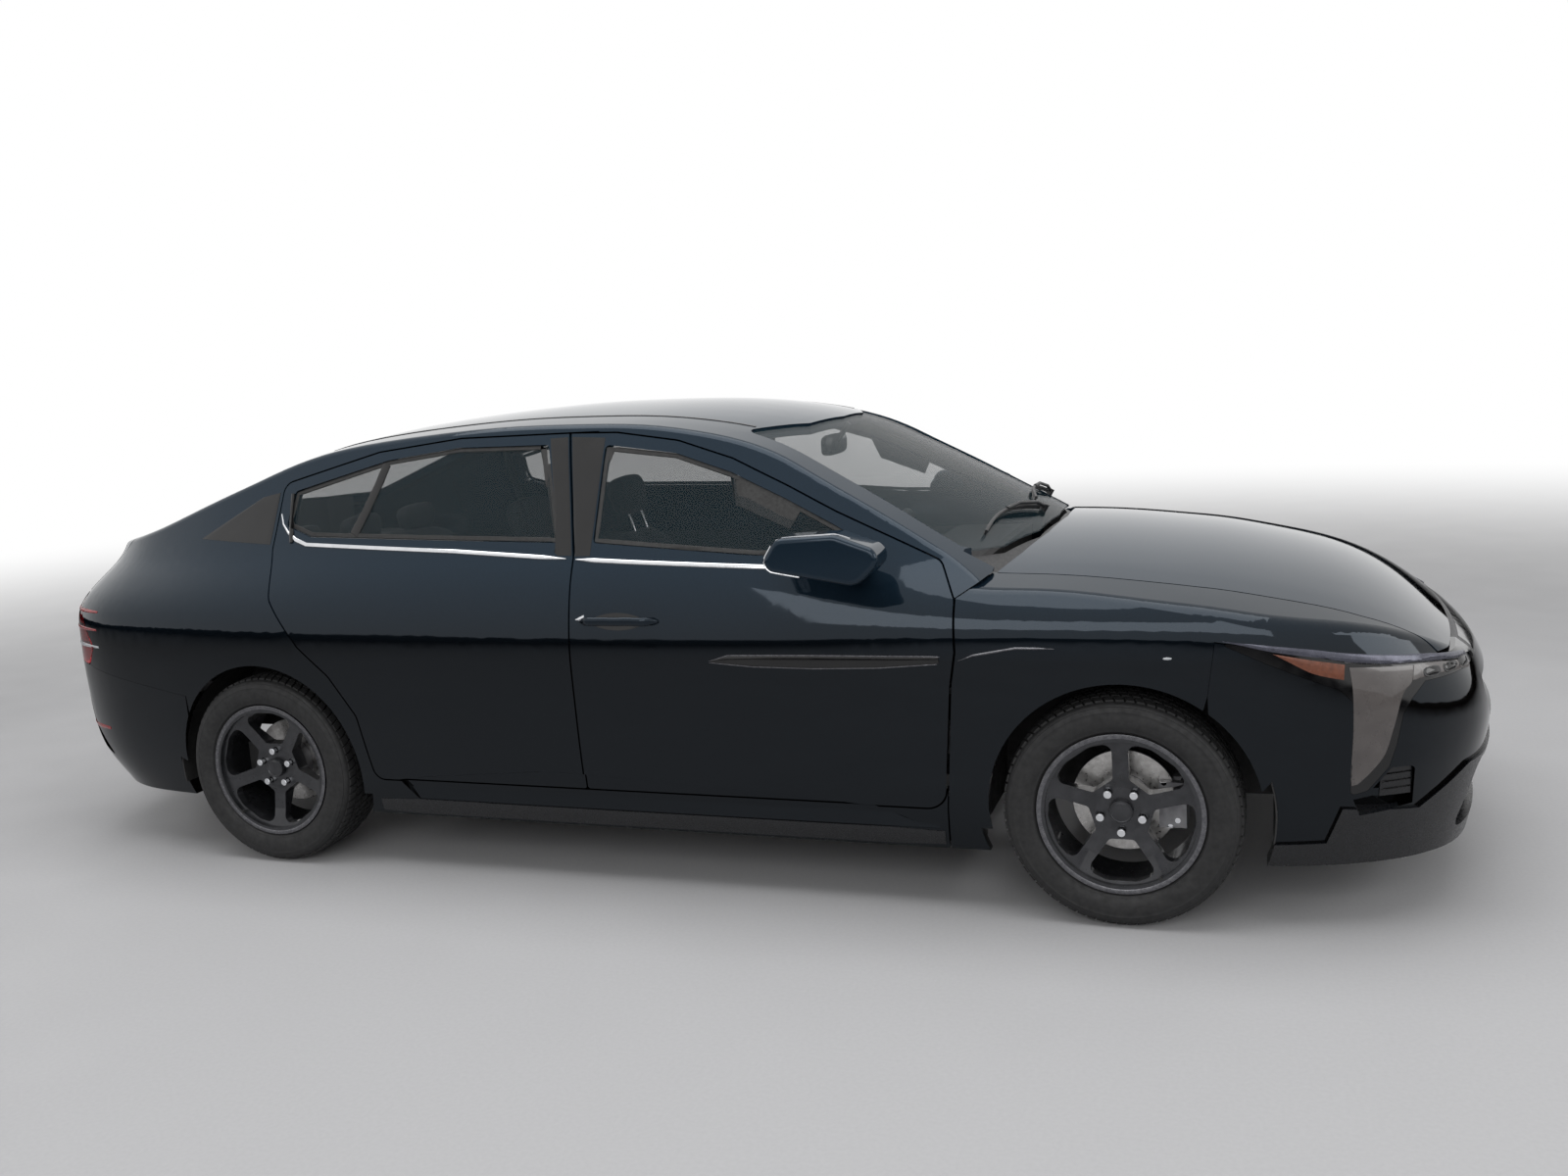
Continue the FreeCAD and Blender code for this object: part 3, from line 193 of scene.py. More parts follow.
def sky_painted_lacquer(name, tint):
    """Deep gloss black with painted sky light: neutral low on the body and leaning to blue on its upper
    surfaces, with a painted blue sky reflection in its specular tint.
    """
    made = Finish(name)
    flakes = made.tone(made.spread(made.noise(900.0, 2.0), 0, 1), (0.0030, 0.0030, 0.0032),
                       (0.0060, 0.0060, 0.0064))
    # Painted sky light: the base colour goes from dim neutral at 0.72 m to bright blue at 0.98 m up, as if
    # the upper surfaces were lit by the sky
    height = made.node("ShaderNodeSeparateXYZ", {}, Vector=made.coords)["Z"]
    above = made.node("ShaderNodeMapRange", {}, Value=height, From_Min=0.72, From_Max=0.98)["Result"]
    shade = made.tone(above, (0.5, 0.45, 0.40), (1.6, 3.6, 5.6))
    mixed = made.node("ShaderNodeMix", {"data_type": "RGBA", "blend_type": "MULTIPLY"}, Factor=1.0, A=flakes,
                      B=shade)
    made.link(mixed["Result"], "Base Color")
    made.link(made.spread(made.noise(2.2, 4.0), 0.03, 0.06), "Roughness")
    made.fix("IOR", 1.40)
    # Painted reflection: the specular tint carries a blue sky colour
    made.fix("Specular Tint", (*tint, 1))
    made.bump(made.noise(5.0, 2.0), 0.06, 0.0006)
    return made.material


# Painted sky reflection: both paints carry a blue sky colour in their specular tint, and the copy for the
# roof, bonnet and boot lid is bluer, a lit copy of the same paint
PAINT = sky_painted_lacquer("black_paint", (0.74, 0.86, 1.0))
PAINT_PAINTED_SKY = sky_painted_lacquer("black_paint_above", (0.42, 0.68, 1.0))
GLOSS_BLACK = finish("gloss_black_trim", (0.003, 0.003, 0.0035), (0.006, 0.006, 0.0065), (0.06, 0.14), 12.0)
SATIN_BLACK = finish("satin_black_plastic", (0.010, 0.010, 0.011), (0.020, 0.020, 0.021), (0.38, 0.55), 60.0,
                     grain=(1500.0, 0.25, 0.0004))
GRAINED = finish("grained_cabin_plastic", (0.018, 0.018, 0.019), (0.032, 0.032, 0.034), (0.50, 0.66), 40.0,
                 grain=(700.0, 0.5, 0.0006))
RUBBER = finish("soft_rubber", (0.010, 0.010, 0.010), (0.018, 0.018, 0.018), (0.60, 0.80), 50.0,
                grain=(900.0, 0.3, 0.0004))
CHROME = finish("bright_chrome", (0.62, 0.63, 0.65), (0.74, 0.75, 0.77), (0.06, 0.14), 25.0, metallic=1.0)
DARK_TRIM = finish("dark_lower_trim", (0.0035, 0.0038, 0.0050), (0.0070, 0.0075, 0.0095), (0.22, 0.36), 40.0,
                   grain=(1500.0, 0.2, 0.0003))
UNDERCOAT = finish("underbody_coating", (0.005, 0.005, 0.0055), (0.016, 0.0155, 0.0155), (0.60, 0.80), 14.0,
                   grain=(260.0, 0.5, 0.0012))
CAST = finish("cast_metal", (0.17, 0.17, 0.18), (0.30, 0.30, 0.31), (0.42, 0.62), 22.0, metallic=0.8,
              grain=(420.0, 0.35, 0.0006))
EXHAUST = finish("exhaust_steel", (0.22, 0.20, 0.18), (0.40, 0.38, 0.36), (0.30, 0.50), 12.0, metallic=1.0,
                 stretch=(0.3, 3, 3))
ALLOY = finish("dark_alloy", (0.022, 0.023, 0.026), (0.040, 0.041, 0.046), (0.26, 0.38), 30.0, metallic=0.6,
               coat=0.4)
RIM_EDGE = finish("turned_rim_edge", (0.10, 0.10, 0.11), (0.17, 0.17, 0.18), (0.20, 0.30), 90.0, metallic=0.9)
DISC_STEEL = finish("brake_disc_steel", (0.36, 0.35, 0.34), (0.52, 0.51, 0.50), (0.25, 0.42), 60.0,
                    metallic=1.0)
TYRE_RUBBER = finish("tyre_rubber", (0.0045, 0.0045, 0.0050), (0.011, 0.011, 0.0115), (0.62, 0.82), 24.0,
                     grain=(600.0, 0.4, 0.0005))
WINDOW_GLASS = tinted_pane("tinted_window", (0.008, 0.020, 0.026), (0.012, 0.028, 0.036), 0.33)
SCREEN_GLASS = tinted_pane("screen_glass", (0.012, 0.034, 0.044), (0.016, 0.044, 0.056), 0.24)
RED_LENS = red_lens()
AMBER = finish("amber_reflector", (0.115, 0.036, 0.018), (0.190, 0.060, 0.030), (0.16, 0.28), 80.0,
               grain=(900.0, 0.5, 0.0005))
SATIN_SILVER = finish("satin_silver_blade", (0.50, 0.51, 0.53), (0.62, 0.63, 0.65), (0.24, 0.34), 40.0,
                      metallic=0.6)
BLADE_SATIN = finish("satin_lamp_blade", (0.060, 0.062, 0.082), (0.095, 0.097, 0.125), (0.20, 0.30), 40.0,
                     metallic=0.5)
LAMP_SHELL = finish("smoked_lamp_shell", (0.062, 0.054, 0.052), (0.088, 0.078, 0.074), (0.24, 0.36), 18.0,
                    coat=0.5)
LIGHT_GUIDE = finish("frosted_light_guide", (0.42, 0.44, 0.46), (0.62, 0.64, 0.66), (0.10, 0.22), 60.0)
RED_GUIDE = finish("red_light_guide", (0.20, 0.006, 0.008), (0.34, 0.012, 0.014), (0.10, 0.22), 60.0)
MIRROR_GLASS = finish("mirror_glass", (0.60, 0.62, 0.65), (0.68, 0.70, 0.73), (0.01, 0.03), 6.0, metallic=1.0)
GRILLE_SLAT = finish("grille_slat", (0.020, 0.020, 0.022), (0.050, 0.050, 0.054), (0.14, 0.26), 40.0,
                     metallic=0.6)
SEAT_CLOTH = finish("seat_cloth", (0.020, 0.020, 0.022), (0.040, 0.040, 0.043), (0.75, 0.92), 90.0,
                    grain=(800.0, 0.7, 0.0010))

# What each node starts with decides its finish, the longest start first
NODE_FINISHES = (
    (PAINT, "door_ side_frame_ front_fenders front_bumper rear_bumper mirror_"),
    (PAINT_PAINTED_SKY, "roof_panel bonnet boot_lid"), (WINDOW_GLASS, "window_ rear_window"),
    (SCREEN_GLASS, "windscreen"), (SATIN_BLACK, "cowl grille radiator"),
    (GRAINED, "parcel_shelf dashboard steering_wheel"), (RUBBER, "door_seals boot_seal"),
    (GLOSS_BLACK, "headlamps"), (RED_LENS, "tail_lamps"), (DARK_TRIM, "front_lip rear_diffuser"),
    (UNDERCOAT, "floor_pan subframe lower_arms strut_mounts rear_axle wheel_liners"),
    (CAST, "knuckle_ engine_block"), (EXHAUST, "exhaust"), (ALLOY, "rim_"), (TYRE_RUBBER, "tyre_"),
    (SEAT_CLOTH, "front_seats rear_bench"),
)
starts = {start: material for material, names in NODE_FINISHES for start in names.split()}
for name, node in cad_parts.items():
    longest = max((start for start in starts if name.startswith(start)), key=len)
    node.data.materials.clear()
    node.data.materials.append(starts[longest])


# Tools for the pieces that are laid on the body
def tree_of(*names):
    """A search tree over the faces of some nodes."""
    points, faces = [], []
    for name in names:
        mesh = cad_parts[name].data
        base = len(points)
        points += [v.co.copy() for v in mesh.vertices]
        faces += [[base + i for i in face.vertices] for face in mesh.polygons]
    return BVHTree.FromPolygons(points, faces)


def skin_from(tree, axis, start, near, square=False):
    """Places on a tree by the two coordinates other than axis, looked for from start towards near.

    The normal faces start, and is square to the axis where the skin is the back of a panel."""
    way = Vector((0, 0, 0))
    way[axis] = math.copysign(1, near - start)

    def reach(first, second):
        spot = [first, second]
        place, normal = tree.ray_cast(Vector(spot[:axis] + [start] + spot[axis:]), way)[:2]
        if place is None:
            place, normal = tree.find_nearest(Vector(spot[:axis] + [near] + spot[axis:]))[:2]
        if square:
            return place, -way
        return place, normal if normal.dot(way) < 0 else -normal
    return reach


def side_skin(tree, side):
    """Places on a side of the body by (x, z)."""
    return skin_from(tree, 1, side * 1.6, side * 0.95)


def end_skin(tree, facing):
    """Places on the nose or tail by (y, z), looked at from the end that facing names."""
    return skin_from(tree, 0, facing * 3, facing * 2.3)


def top_skin(tree):
    """Places on an upper surface by (x, y)."""
    return skin_from(tree, 2, 2.0, 1.2)


def new_piece(name, points, faces, material, body, smooth=40):
    """A cleaned mesh as a piece on a body."""
    mesh = bpy.data.meshes.new(name)
    mesh.from_pydata([tuple(p) for p in points], [], faces)
    shape = bmesh.new()
    shape.from_mesh(mesh)
    bmesh.ops.remove_doubles(shape, verts=shape.verts, dist=0.00005)
    bmesh.ops.recalc_face_normals(shape, faces=shape.faces)
    shape.to_mesh(mesh)
    shape.free()
    mesh.materials.append(material)
    smoothed(mesh, smooth)
    piece = linked(name, mesh)
    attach(piece, body)
    return piece


def smooth_line(points, per_span):
    """A curve through the points."""
    line = []
    for i in range(len(points) - 1):
        p0, p1 = points[max(i - 1, 0)], points[i]
        p2, p3 = points[i + 1], points[min(i + 2, len(points) - 1)]
        for step in range(per_span):
            t = step / per_span
            line.append(tuple(0.5 * (2 * b + (c - a) * t + (2 * a - 5 * b + 4 * c - d) * t ** 2
                                     + (3 * b - a - 3 * c + d) * t ** 3)
                              for a, b, c, d in zip(p0, p1, p2, p3)))
    return line + [tuple(points[-1])]


def straight_line(points, step=0.02):
    """The points with more of them in between, about a step apart."""
    line = []
    for a, b in zip(points, points[1:]):
        length = math.dist(a[:2], b[:2])
        count = max(1, int(length / step))
        line += [tuple(u + (v - u) * i / count for u, v in zip(a, b)) for i in range(count)]
    return line + [tuple(points[-1])]


def circle(count):
    """Cosine and sine of as many even steps round a circle."""
    angles = [2 * math.pi * k / count for k in range(count)]
    return [(math.cos(angle), math.sin(angle)) for angle in angles]


def tube_faces(rows, around, closed=False):
    """Faces over rows of as many points, closed to a ring or capped at both ends."""
    faces = []
    last = rows if closed else rows - 1
    for i in range(last):
        j = (i + 1) % rows
        for k in range(around):
            n = (k + 1) % around
            faces.append((i * around + k, i * around + n, j * around + n, j * around + k))
    if not closed:
        faces.append(tuple(range(around)))
        faces.append(tuple(reversed(range((rows - 1) * around, rows * around))))
    return faces


def carried(skin, line, section, closed=False):
    """Points of a (share of half width, rise) section carried along (x, z, width) on a skin."""
    points = []
    last = len(line) - 1
    for i, (x, z, width) in enumerate(line):
        ahead = line[(i + 1) % len(line)] if closed else line[min(i + 1, last)]
        behind = line[i - 1] if closed else line[max(i - 1, 0)]
        run = Vector((ahead[0] - behind[0], ahead[1] - behind[1])).normalized()
        across = Vector((-run.y, run.x)) * (width / 2)
        for share, rise in section:
            place, normal = skin(x + across.x * share, z + across.y * share)
            points.append(place + normal * rise)
    return points


def side_strip(name, skin, line, height, material, body):
    """A crowned strip that follows (x, z, width) on the side of the body."""
    sink = 0.0015
    half = [(1, -sink), (0.96, height * 0.55), (0.6, height * 0.93)]
    section = [(-share, rise) for share, rise in half] + [(0, height)] + half[::-1]
    return new_piece(name, carried(skin, line, section), tube_faces(len(line), 7), material, body)


def lathe(name, profile, centre, material, body, steps, side=1):
    """Turns (along, radius) points round the wheel axis at centre."""
    points = [Vector(centre) + Vector((radius * c, side * along, radius * s))
              for c, s in circle(steps) for along, radius in profile]
    return new_piece(name, points, tube_faces(steps, len(profile), True), material, body)


def rod(line, radius, around=10):
    """Points and faces of a round bar along a line of places."""
    line = [Vector(p) for p in line]
    points = []
    for i, place in enumerate(line):
        run = (line[min(i + 1, len(line) - 1)] - line[max(i - 1, 0)]).normalized()
        first = run.orthogonal().normalized() if i == 0 else (first - run * first.dot(run)).normalized()
        second = run.cross(first)
        points += [place + (first * c + second * s) * radius for c, s in circle(around)]
    return points, tube_faces(len(line), around)


def joined(name, parts, material, body):
    """One piece out of several (points, faces) parts."""
    points, faces = [], []
    for part_points, part_faces in parts:
        base = len(points)
        points += part_points
        faces += [tuple(base + i for i in face) for face in part_faces]
    return new_piece(name, points, faces, material, body)


def panel_between(name, skin, low, high, rise, material, body, rows, edge):
    """A thin panel on a skin between two lines of as many places, sunk by edge at its back."""
    columns = len(low) - 1
    wide = columns + 1
    layer = wide * (rows + 1)
    points, faces = [], []
    for level in (rise, -edge):
        for j in range(rows + 1):
            for i in range(wide):
                place, normal = skin(*Vector(low[i]).lerp(Vector(high[i]), j / rows))
                border = i in (0, columns) or j in (0, rows)
                points.append(place + normal * (level if not border or level < 0 else level * 0.4))
    for j in range(rows):
        for i in range(columns):
            a = j * wide + i
            faces.append((a, a + 1, a + wide + 1, a + wide))
            faces.append((layer + a, layer + a + wide, layer + a + wide + 1, layer + a + 1))
    rim = (list(range(wide)) + [wide * j + columns for j in range(1, rows + 1)]
           + [wide * rows + i for i in range(columns - 1, -1, -1)]
           + [wide * j for j in range(rows - 1, 0, -1)])
    for a, b in zip(rim, rim[1:] + rim[:1]):
        faces.append((a, b, layer + b, layer + a))
    return new_piece(name, points, faces, material, body)


# Trim on the sides: belt strips, pillar covers, garnish, handles
def side_patch(name, skin, corners, material, body, columns=16, rows=6):
    """A thin cover on the side of the body between four (x, z) corners, low rear corner first."""
    low_rear, low_front, high_front, high_rear = [Vector(c) for c in corners]
    low = [low_rear.lerp(low_front, i / columns) for i in range(columns + 1)]
    high = [high_rear.lerp(high_front, i / columns) for i in range(columns + 1)]
    return panel_between(name, skin, low, high, 0.0016, material, body, rows, 0.0012)


def widths(line, width, taper=0.25):
    """Adds a width to each (x, z), drawn in to a point over the ends."""
    full = straight_line([(x, z) for x, z in line])
    count = len(full)
    ends = max(2, int(count * 0.08))
    made = []
    for i, (x, z) in enumerate(full):
        share = min(1.0, taper + (1 - taper) * min(i, count - 1 - i) / ends)
        made.append((x, z, width * share))
    return made


REAR_BELT = [(-1.254, 1.138), (-1.240, 1.106), (-1.212, 1.079), (-1.176, 1.058), (-1.130, 1.0435),
             (-0.564, 1.021), (-0.172, 0.997)]
FRONT_BELT = [(-0.140, 0.995), (0.040, 0.986), (0.433, 0.970), (0.700, 0.961)]
GARNISH_LINE = [(0.288, 0.712), (0.345, 0.729), (0.600, 0.733), (0.952, 0.735)]
GARNISH_LOW = [(0.288, 0.708), (0.420, 0.698), (0.600, 0.696), (0.780, 0.701), (0.944, 0.714)]
FENDER_TAIL = [(1.000, 0.724), (1.040, 0.739), (1.153, 0.760), (1.255, 0.760)]
SILL_LINE = [(-0.900, 0.212), (0.935, 0.212)]
GARNISH = [(0.292, 0.713, 0.708), (0.345, 0.7275, 0.703), (0.480, 0.731, 0.6975), (0.600, 0.732, 0.6965),
           (0.780, 0.733, 0.702), (0.900, 0.734, 0.710), (0.948, 0.734, 0.715)]
MARKER = [(1.524 + 0.003 * i, 0.737, 0.003 + 0.004 * math.sin(math.pi * i / 7)) for i in range(8)]
LOCK_CAP = [(-0.128 + 0.004 * i, 0.826 + 0.0006 * i, 0.004 + 0.0022 * i) for i in range(8)]
REAR_LEVER = [(-1.205 - 0.002 * i, 1.120 + 0.010 * i, 0.012 + 0.006 * math.sin(math.pi * i / 8))
              for i in range(9)]
HANDLE_REAR, HANDLE_FRONT, HANDLE_HEIGHT = -0.117, 0.137, 0.822
HANDLE_CUP_SHADE = [(HANDLE_REAR + 0.045 + 0.155 * i / 16, HANDLE_HEIGHT - 0.001,
               0.052 * math.sin(math.pi * (i + 0.6) / 17.2) ** 0.5) for i in range(17)]


def door_handle(name, skin, body):
    """A pull bar that stands off the door, over a dark gloss patch painted as the shade of a shallow cup."""
    points = []
    rows, around = 28, 12
    for i in range(rows):
        share = i / (rows - 1)
        arch = math.sin(math.pi * share)
        place, normal = skin(HANDLE_REAR + (HANDLE_FRONT - HANDLE_REAR) * share, HANDLE_HEIGHT)
        lift = 0.030 * min(1.0, arch * 2.4)
        high = 0.0125 * (0.35 + 0.65 * min(1.0, arch * 3.0))
        deep = 0.007 * (0.5 + 0.5 * min(1.0, arch * 3.0))
        points += [place + normal * (lift - 0.001 + deep * c) + Vector((0, 0, high * s))
                   for c, s in circle(around)]
    new_piece(name, points, tube_faces(rows, around), PAINT, body, 60)
    # Painted shade: a gloss black patch laid on the skin stands in for the recessed cup behind the handle
    side_strip(name + "_cup", skin, HANDLE_CUP_SHADE, 0.0008, GLOSS_BLACK, body)


for side, word in SIDES:
    front_door, rear_door = "door_front_" + word, "door_rear_" + word
    front_skin, rear_skin = side_skin(tree_of(front_door), side), side_skin(tree_of(rear_door), side)
    frame_skin = side_skin(tree_of("side_frame_" + word), side)
    fender_skin = side_skin(tree_of("front_fenders"), side)
    side_strip("belt_strip_rear_" + word, rear_skin, widths(REAR_BELT, 0.012), 0.0035, CHROME, rear_door)
    side_strip("belt_strip_front_" + word, front_skin, widths(FRONT_BELT, 0.012), 0.0035, CHROME, front_door)
    side_patch("pillar_cover_front_" + word, front_skin,
               [(-0.146, 1.004), (-0.096, 1.004), (-0.096, 1.338), (-0.208, 1.344)], GLOSS_BLACK, front_door)
    side_patch("pillar_cover_rear_" + word, rear_skin,
               [(-0.202, 1.006), (-0.156, 1.006), (-0.222, 1.344), (-0.282, 1.342)], GLOSS_BLACK, rear_door)
    side_patch("quarter_cover_" + word, frame_skin,
               [(-1.600, 1.060), (-1.282, 1.044), (-1.276, 1.205), (-1.345, 1.192)], GLOSS_BLACK, "body",
               24, 10)
    for name, skin, line, height, material, body in (
            ("door_garnish_", front_skin, [(x, (high + low) / 2, max(0.004, high - low))
                                           for x, high, low in GARNISH], 0.0025, GLOSS_BLACK, front_door),
            ("door_garnish_top_", front_skin, widths(GARNISH_LINE, 0.005), 0.0042, RIM_EDGE, front_door),
            ("door_garnish_low_", front_skin, widths(GARNISH_LOW, 0.004), 0.0036, RIM_EDGE, front_door),
            ("fender_garnish_", fender_skin, widths(FENDER_TAIL, 0.006, 0.1), 0.003, RIM_EDGE, "body"),
            ("sill_cover_", frame_skin, widths(SILL_LINE, 0.052, 0.8), 0.003, DARK_TRIM, "body"),
            ("side_marker_", fender_skin, MARKER, 0.002, LIGHT_GUIDE, "body")):
        side_strip(name + word, skin, line, height, material, body)
    door_handle("door_handle_" + word, front_skin, front_door)
    side_strip("lock_cap_" + word, front_skin, LOCK_CAP, 0.004, CHROME, front_door)
    side_strip("rear_door_lever_" + word, rear_skin, REAR_LEVER, 0.006, GLOSS_BLACK, rear_door)


# Rubber edges of the side windows
def glass_border(name, skin, outline, width, material, body):
    """A flat rubber rim round a pane, closed to a ring."""
    line = [(x, z, width) for x, z in straight_line(outline + outline[:1], 0.025)[:-1]]
    section = [(-1, -0.001), (-0.7, 0.0012), (0.7, 0.0016), (1, -0.001)]
    return new_piece(name, carried(skin, line, section, True), tube_faces(len(line), 4, True), material, body)


FRONT_PANE = [(-0.084, 1.046), (-0.084, 1.306), (0.143, 1.278), (0.321, 1.220), (0.494, 1.142),
              (0.630, 1.072), (0.770, 0.999), (0.414, 1.007)]
REAR_PANE = [(-0.214, 1.050), (-0.288, 1.316), (-0.600, 1.318), (-0.860, 1.288), (-1.205, 1.200),
             (-1.216, 1.106), (-1.118, 1.074), (-0.600, 1.060)]
for side, word in SIDES:
    for place, outline in (("front", FRONT_PANE), ("rear", REAR_PANE)):
        pane = "window_%s_%s" % (place, word)
        body = "door_%s_%s" % (place, word)
        skin = side_skin(tree_of(pane), side)
        glass_border("glass_edge_%s_%s" % (place, word), skin, outline, 0.014, RUBBER, body)
        if place == "rear":
            side_strip("glass_divider_" + word, skin, [(-0.868, 1.284, 0.030), (-0.884, 1.23, 0.030),
                                                       (-0.915, 1.15, 0.031), (-0.950, 1.072, 0.034)],
                       0.003, GLOSS_BLACK, body)


# Geometry node trees for what repeats. Each one ends in a plain mesh.
class Growth(Nodes):
    def __init__(self, name):
        super().__init__(bpy.data.node_groups.new(name, "GeometryNodeTree"))
        self.tree.interface.new_socket("Geometry", in_out="OUTPUT", socket_type="NodeSocketGeometry")
        self.given = self.tree.nodes.new("NodeGroupInput")
        self.result = self.tree.nodes.new("NodeGroupOutput")
        self.keys = {}

    def size(self, name, value, kind="NodeSocketFloat"):
        socket = self.tree.interface.new_socket(name, in_out="INPUT", socket_type=kind)
        socket.default_value = value
        self.keys[name] = socket.identifier
        return self.given.outputs[name]

    def calc(self, operation, first, second=0.0):
        return self.node("ShaderNodeMath", {"operation": operation}, n0=first, n1=second)[0]

    def plus(self, first, second):
        return self.calc("ADD", first, second)

    def minus(self, first, second):
        return self.calc("SUBTRACT", first, second)

    def times(self, first, second):
        return self.calc("MULTIPLY", first, second)

    def over(self, first, second):
        return self.calc("DIVIDE", first, second)

    def vector(self, x, y, z):
        return self.node("ShaderNodeCombineXYZ", {}, X=x, Y=y, Z=z)[0]

    def parts(self, vector):
        return self.node("ShaderNodeSeparateXYZ", {}, Vector=vector)

    def on_circle(self, radius, angle, across=0.0):
        """A place on a circle round the wheel axis."""
        return self.vector(self.times(radius, self.calc("COSINE", angle)), across,
                           self.times(radius, self.calc("SINE", angle)))

    def geo(self, kind, **inputs):
        """The first output of a geometry node."""
        return self.node("GeometryNode" + kind, {}, **inputs)[0]

    def finish(self, instances, material):
        whole = self.geo("RealizeInstances", Geometry=instances)
        dressed = self.geo("SetMaterial", Geometry=whole, Material=material)
        self.tree.links.new(dressed, self.result.inputs[0])

    def grow(self, name, values, body):
        """Bakes the tree with these values into a piece, which rides a body if one is given."""
        carrier = linked(name + "_carrier", bpy.data.meshes.new(name + "_carrier"))
        modifier = carrier.modifiers.new("pattern", "NODES")
        modifier.node_group = self.tree
        for key, value in values.items():
            modifier[self.keys[key]] = value
        mesh = baked(carrier)
        bpy.data.objects.remove(carrier)
        smoothed(mesh, 30)
        piece = linked(name, mesh)
        if body:
            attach(piece, body)
        return piece


def tread_pattern():
    """Rows of slanted tread blocks round a wheel, dropped towards the shoulders."""
    grow = Growth("tread_blocks")
    centre = grow.size("Centre", (0, 0, 0), "NodeSocketVector")
    radius = grow.size("Radius", 0.3115)
    count = grow.size("Blocks in a row", 72, "NodeSocketInt")
    rows = grow.size("Rows", 5, "NodeSocketInt")
    pitch = grow.size("Row pitch", 0.0335)
    depth = grow.size("Depth", 0.009)
    block_wide, block_long = 0.0262, 0.0212
    slant, narrowing = 0.34, -9.0
    shoulder, drop = 0.085, 0.0185
    index = grow.geo("InputIndex")
    row = grow.calc("FLOOR", grow.over(index, count))
    step = grow.calc("MODULO", index, count)
    stagger = grow.times(grow.calc("MODULO", row, 2.0), 0.5)
    angle = grow.times(grow.over(grow.plus(step, stagger), count), 2 * math.pi)
    across = grow.times(grow.minus(row, 2.0), pitch)
    out = grow.minus(radius, grow.times(depth, 0.5))
    points = grow.geo("Points", Count=grow.times(count, rows), Position=grow.on_circle(out, angle, across))
    blank = grow.geo("MeshCube", Size=grow.vector(depth, block_wide, block_long), Vertices_X=2,
                     Vertices_Y=4, Vertices_Z=2)
    spot = grow.parts(grow.geo("InputPosition"))
    shift = grow.plus(grow.times(spot[1], slant), grow.times(grow.times(spot[0], spot[2]), narrowing))
    block = grow.geo("SetPosition", Geometry=blank, Offset=grow.vector(0.0, 0.0, shift))
    placed = grow.geo("InstanceOnPoints", Points=points, Instance=block,
                      Rotation=grow.vector(0.0, grow.times(angle, -1.0), 0.0))
    whole = grow.geo("RealizeInstances", Geometry=placed)
    where = grow.parts(grow.geo("InputPosition"))
    share = grow.calc("POWER", grow.over(grow.calc("ABSOLUTE", where[1]), shoulder), 4.0)
    scale = grow.minus(1.0, grow.times(share, drop))
    crowned = grow.vector(grow.times(where[0], scale), where[1], grow.times(where[2], scale))
    shaped = grow.geo("SetPosition", Geometry=whole, Position=crowned)
    grow.finish(grow.geo("Transform", Geometry=shaped, Translation=centre), TYRE_RUBBER)
    return grow


def nut_pattern():
    """Wheel nuts on their bolt circle, each with a domed cap and a collar."""
    grow = Growth("wheel_nuts")
    centre = grow.size("Centre", (0, 0, 0), "NodeSocketVector")
    circle = grow.size("Bolt circle", 0.05715)
    first = grow.size("First angle", 0.0)
    radius = grow.size("Nut radius", 0.0092)
    height = grow.size("Nut height", 0.020)
    angle = grow.plus(first, grow.times(grow.geo("InputIndex"), 2 * math.pi / 5))
    points = grow.geo("Points", Count=5, Position=grow.on_circle(circle, angle))
    barrel = grow.geo("MeshCylinder", Vertices=6, Side_Segments=1, Radius=radius, Depth=height)
    dome = grow.geo("MeshCone", Vertices=18, Radius_Top=grow.times(radius, 0.45),
                    Radius_Bottom=grow.times(radius, 0.88), Depth=0.003)
    cap = grow.geo("Transform", Geometry=dome,
                   Translation=grow.vector(0.0, 0.0, grow.times(height, 0.5)))
    collar = grow.geo("MeshCylinder", Vertices=18, Radius=0.0104, Depth=0.003)
    foot = grow.geo("Transform", Geometry=collar,
                    Translation=grow.vector(0.0, 0.0, grow.times(height, -0.4)))
    nut = grow.tree.nodes.new("GeometryNodeJoinGeometry")
    for part in (barrel, cap, foot):
        grow.tree.links.new(part, nut.inputs[0])
    turned = grow.geo("Transform", Geometry=nut.outputs[0], Rotation=(math.radians(-90), 0, 0))
    placed = grow.geo("InstanceOnPoints", Points=points, Instance=turned)
    grow.finish(grow.geo("Transform", Geometry=placed, Translation=centre), CHROME)
    return grow


def merge(piece, other):
    """Adds another piece's mesh to a piece."""
    shape = bmesh.new()
    shape.from_mesh(piece.data)
    shape.from_mesh(other.data)
    bpy.data.objects.remove(other)
    shape.to_mesh(piece.data)
    shape.free()
    piece.data.set_sharp_from_angle(angle=math.radians(32))


TYRE_SECTION = [(-0.0830, 0.2066), (-0.0836, 0.2196), (-0.0890, 0.2212), (-0.0955, 0.2262), (-0.0972, 0.2330),
                (-0.0994, 0.2360), (-0.1004, 0.2420), (-0.1010, 0.2440), (-0.1022, 0.2520), (-0.1024, 0.2620),
                (-0.1022, 0.2700), (-0.1008, 0.2780), (-0.1012, 0.2790), (-0.1008, 0.2802), (-0.0990, 0.2860),
                (-0.0975, 0.2910), (-0.0950, 0.2922), (-0.0938, 0.2950), (-0.0890, 0.2985), (-0.0845, 0.3012),
                (-0.0600, 0.3032), (-0.0300, 0.3038), (0, 0.3040)]
CAP = [(0.052, 0.0), (0.052, 0.031), (0.0640, 0.0315), (0.0668, 0.0300), (0.0672, 0.0275), (0.0660, 0.0262),
       (0.0664, 0.0245), (0.0684, 0.0120), (0.0688, 0.0)]
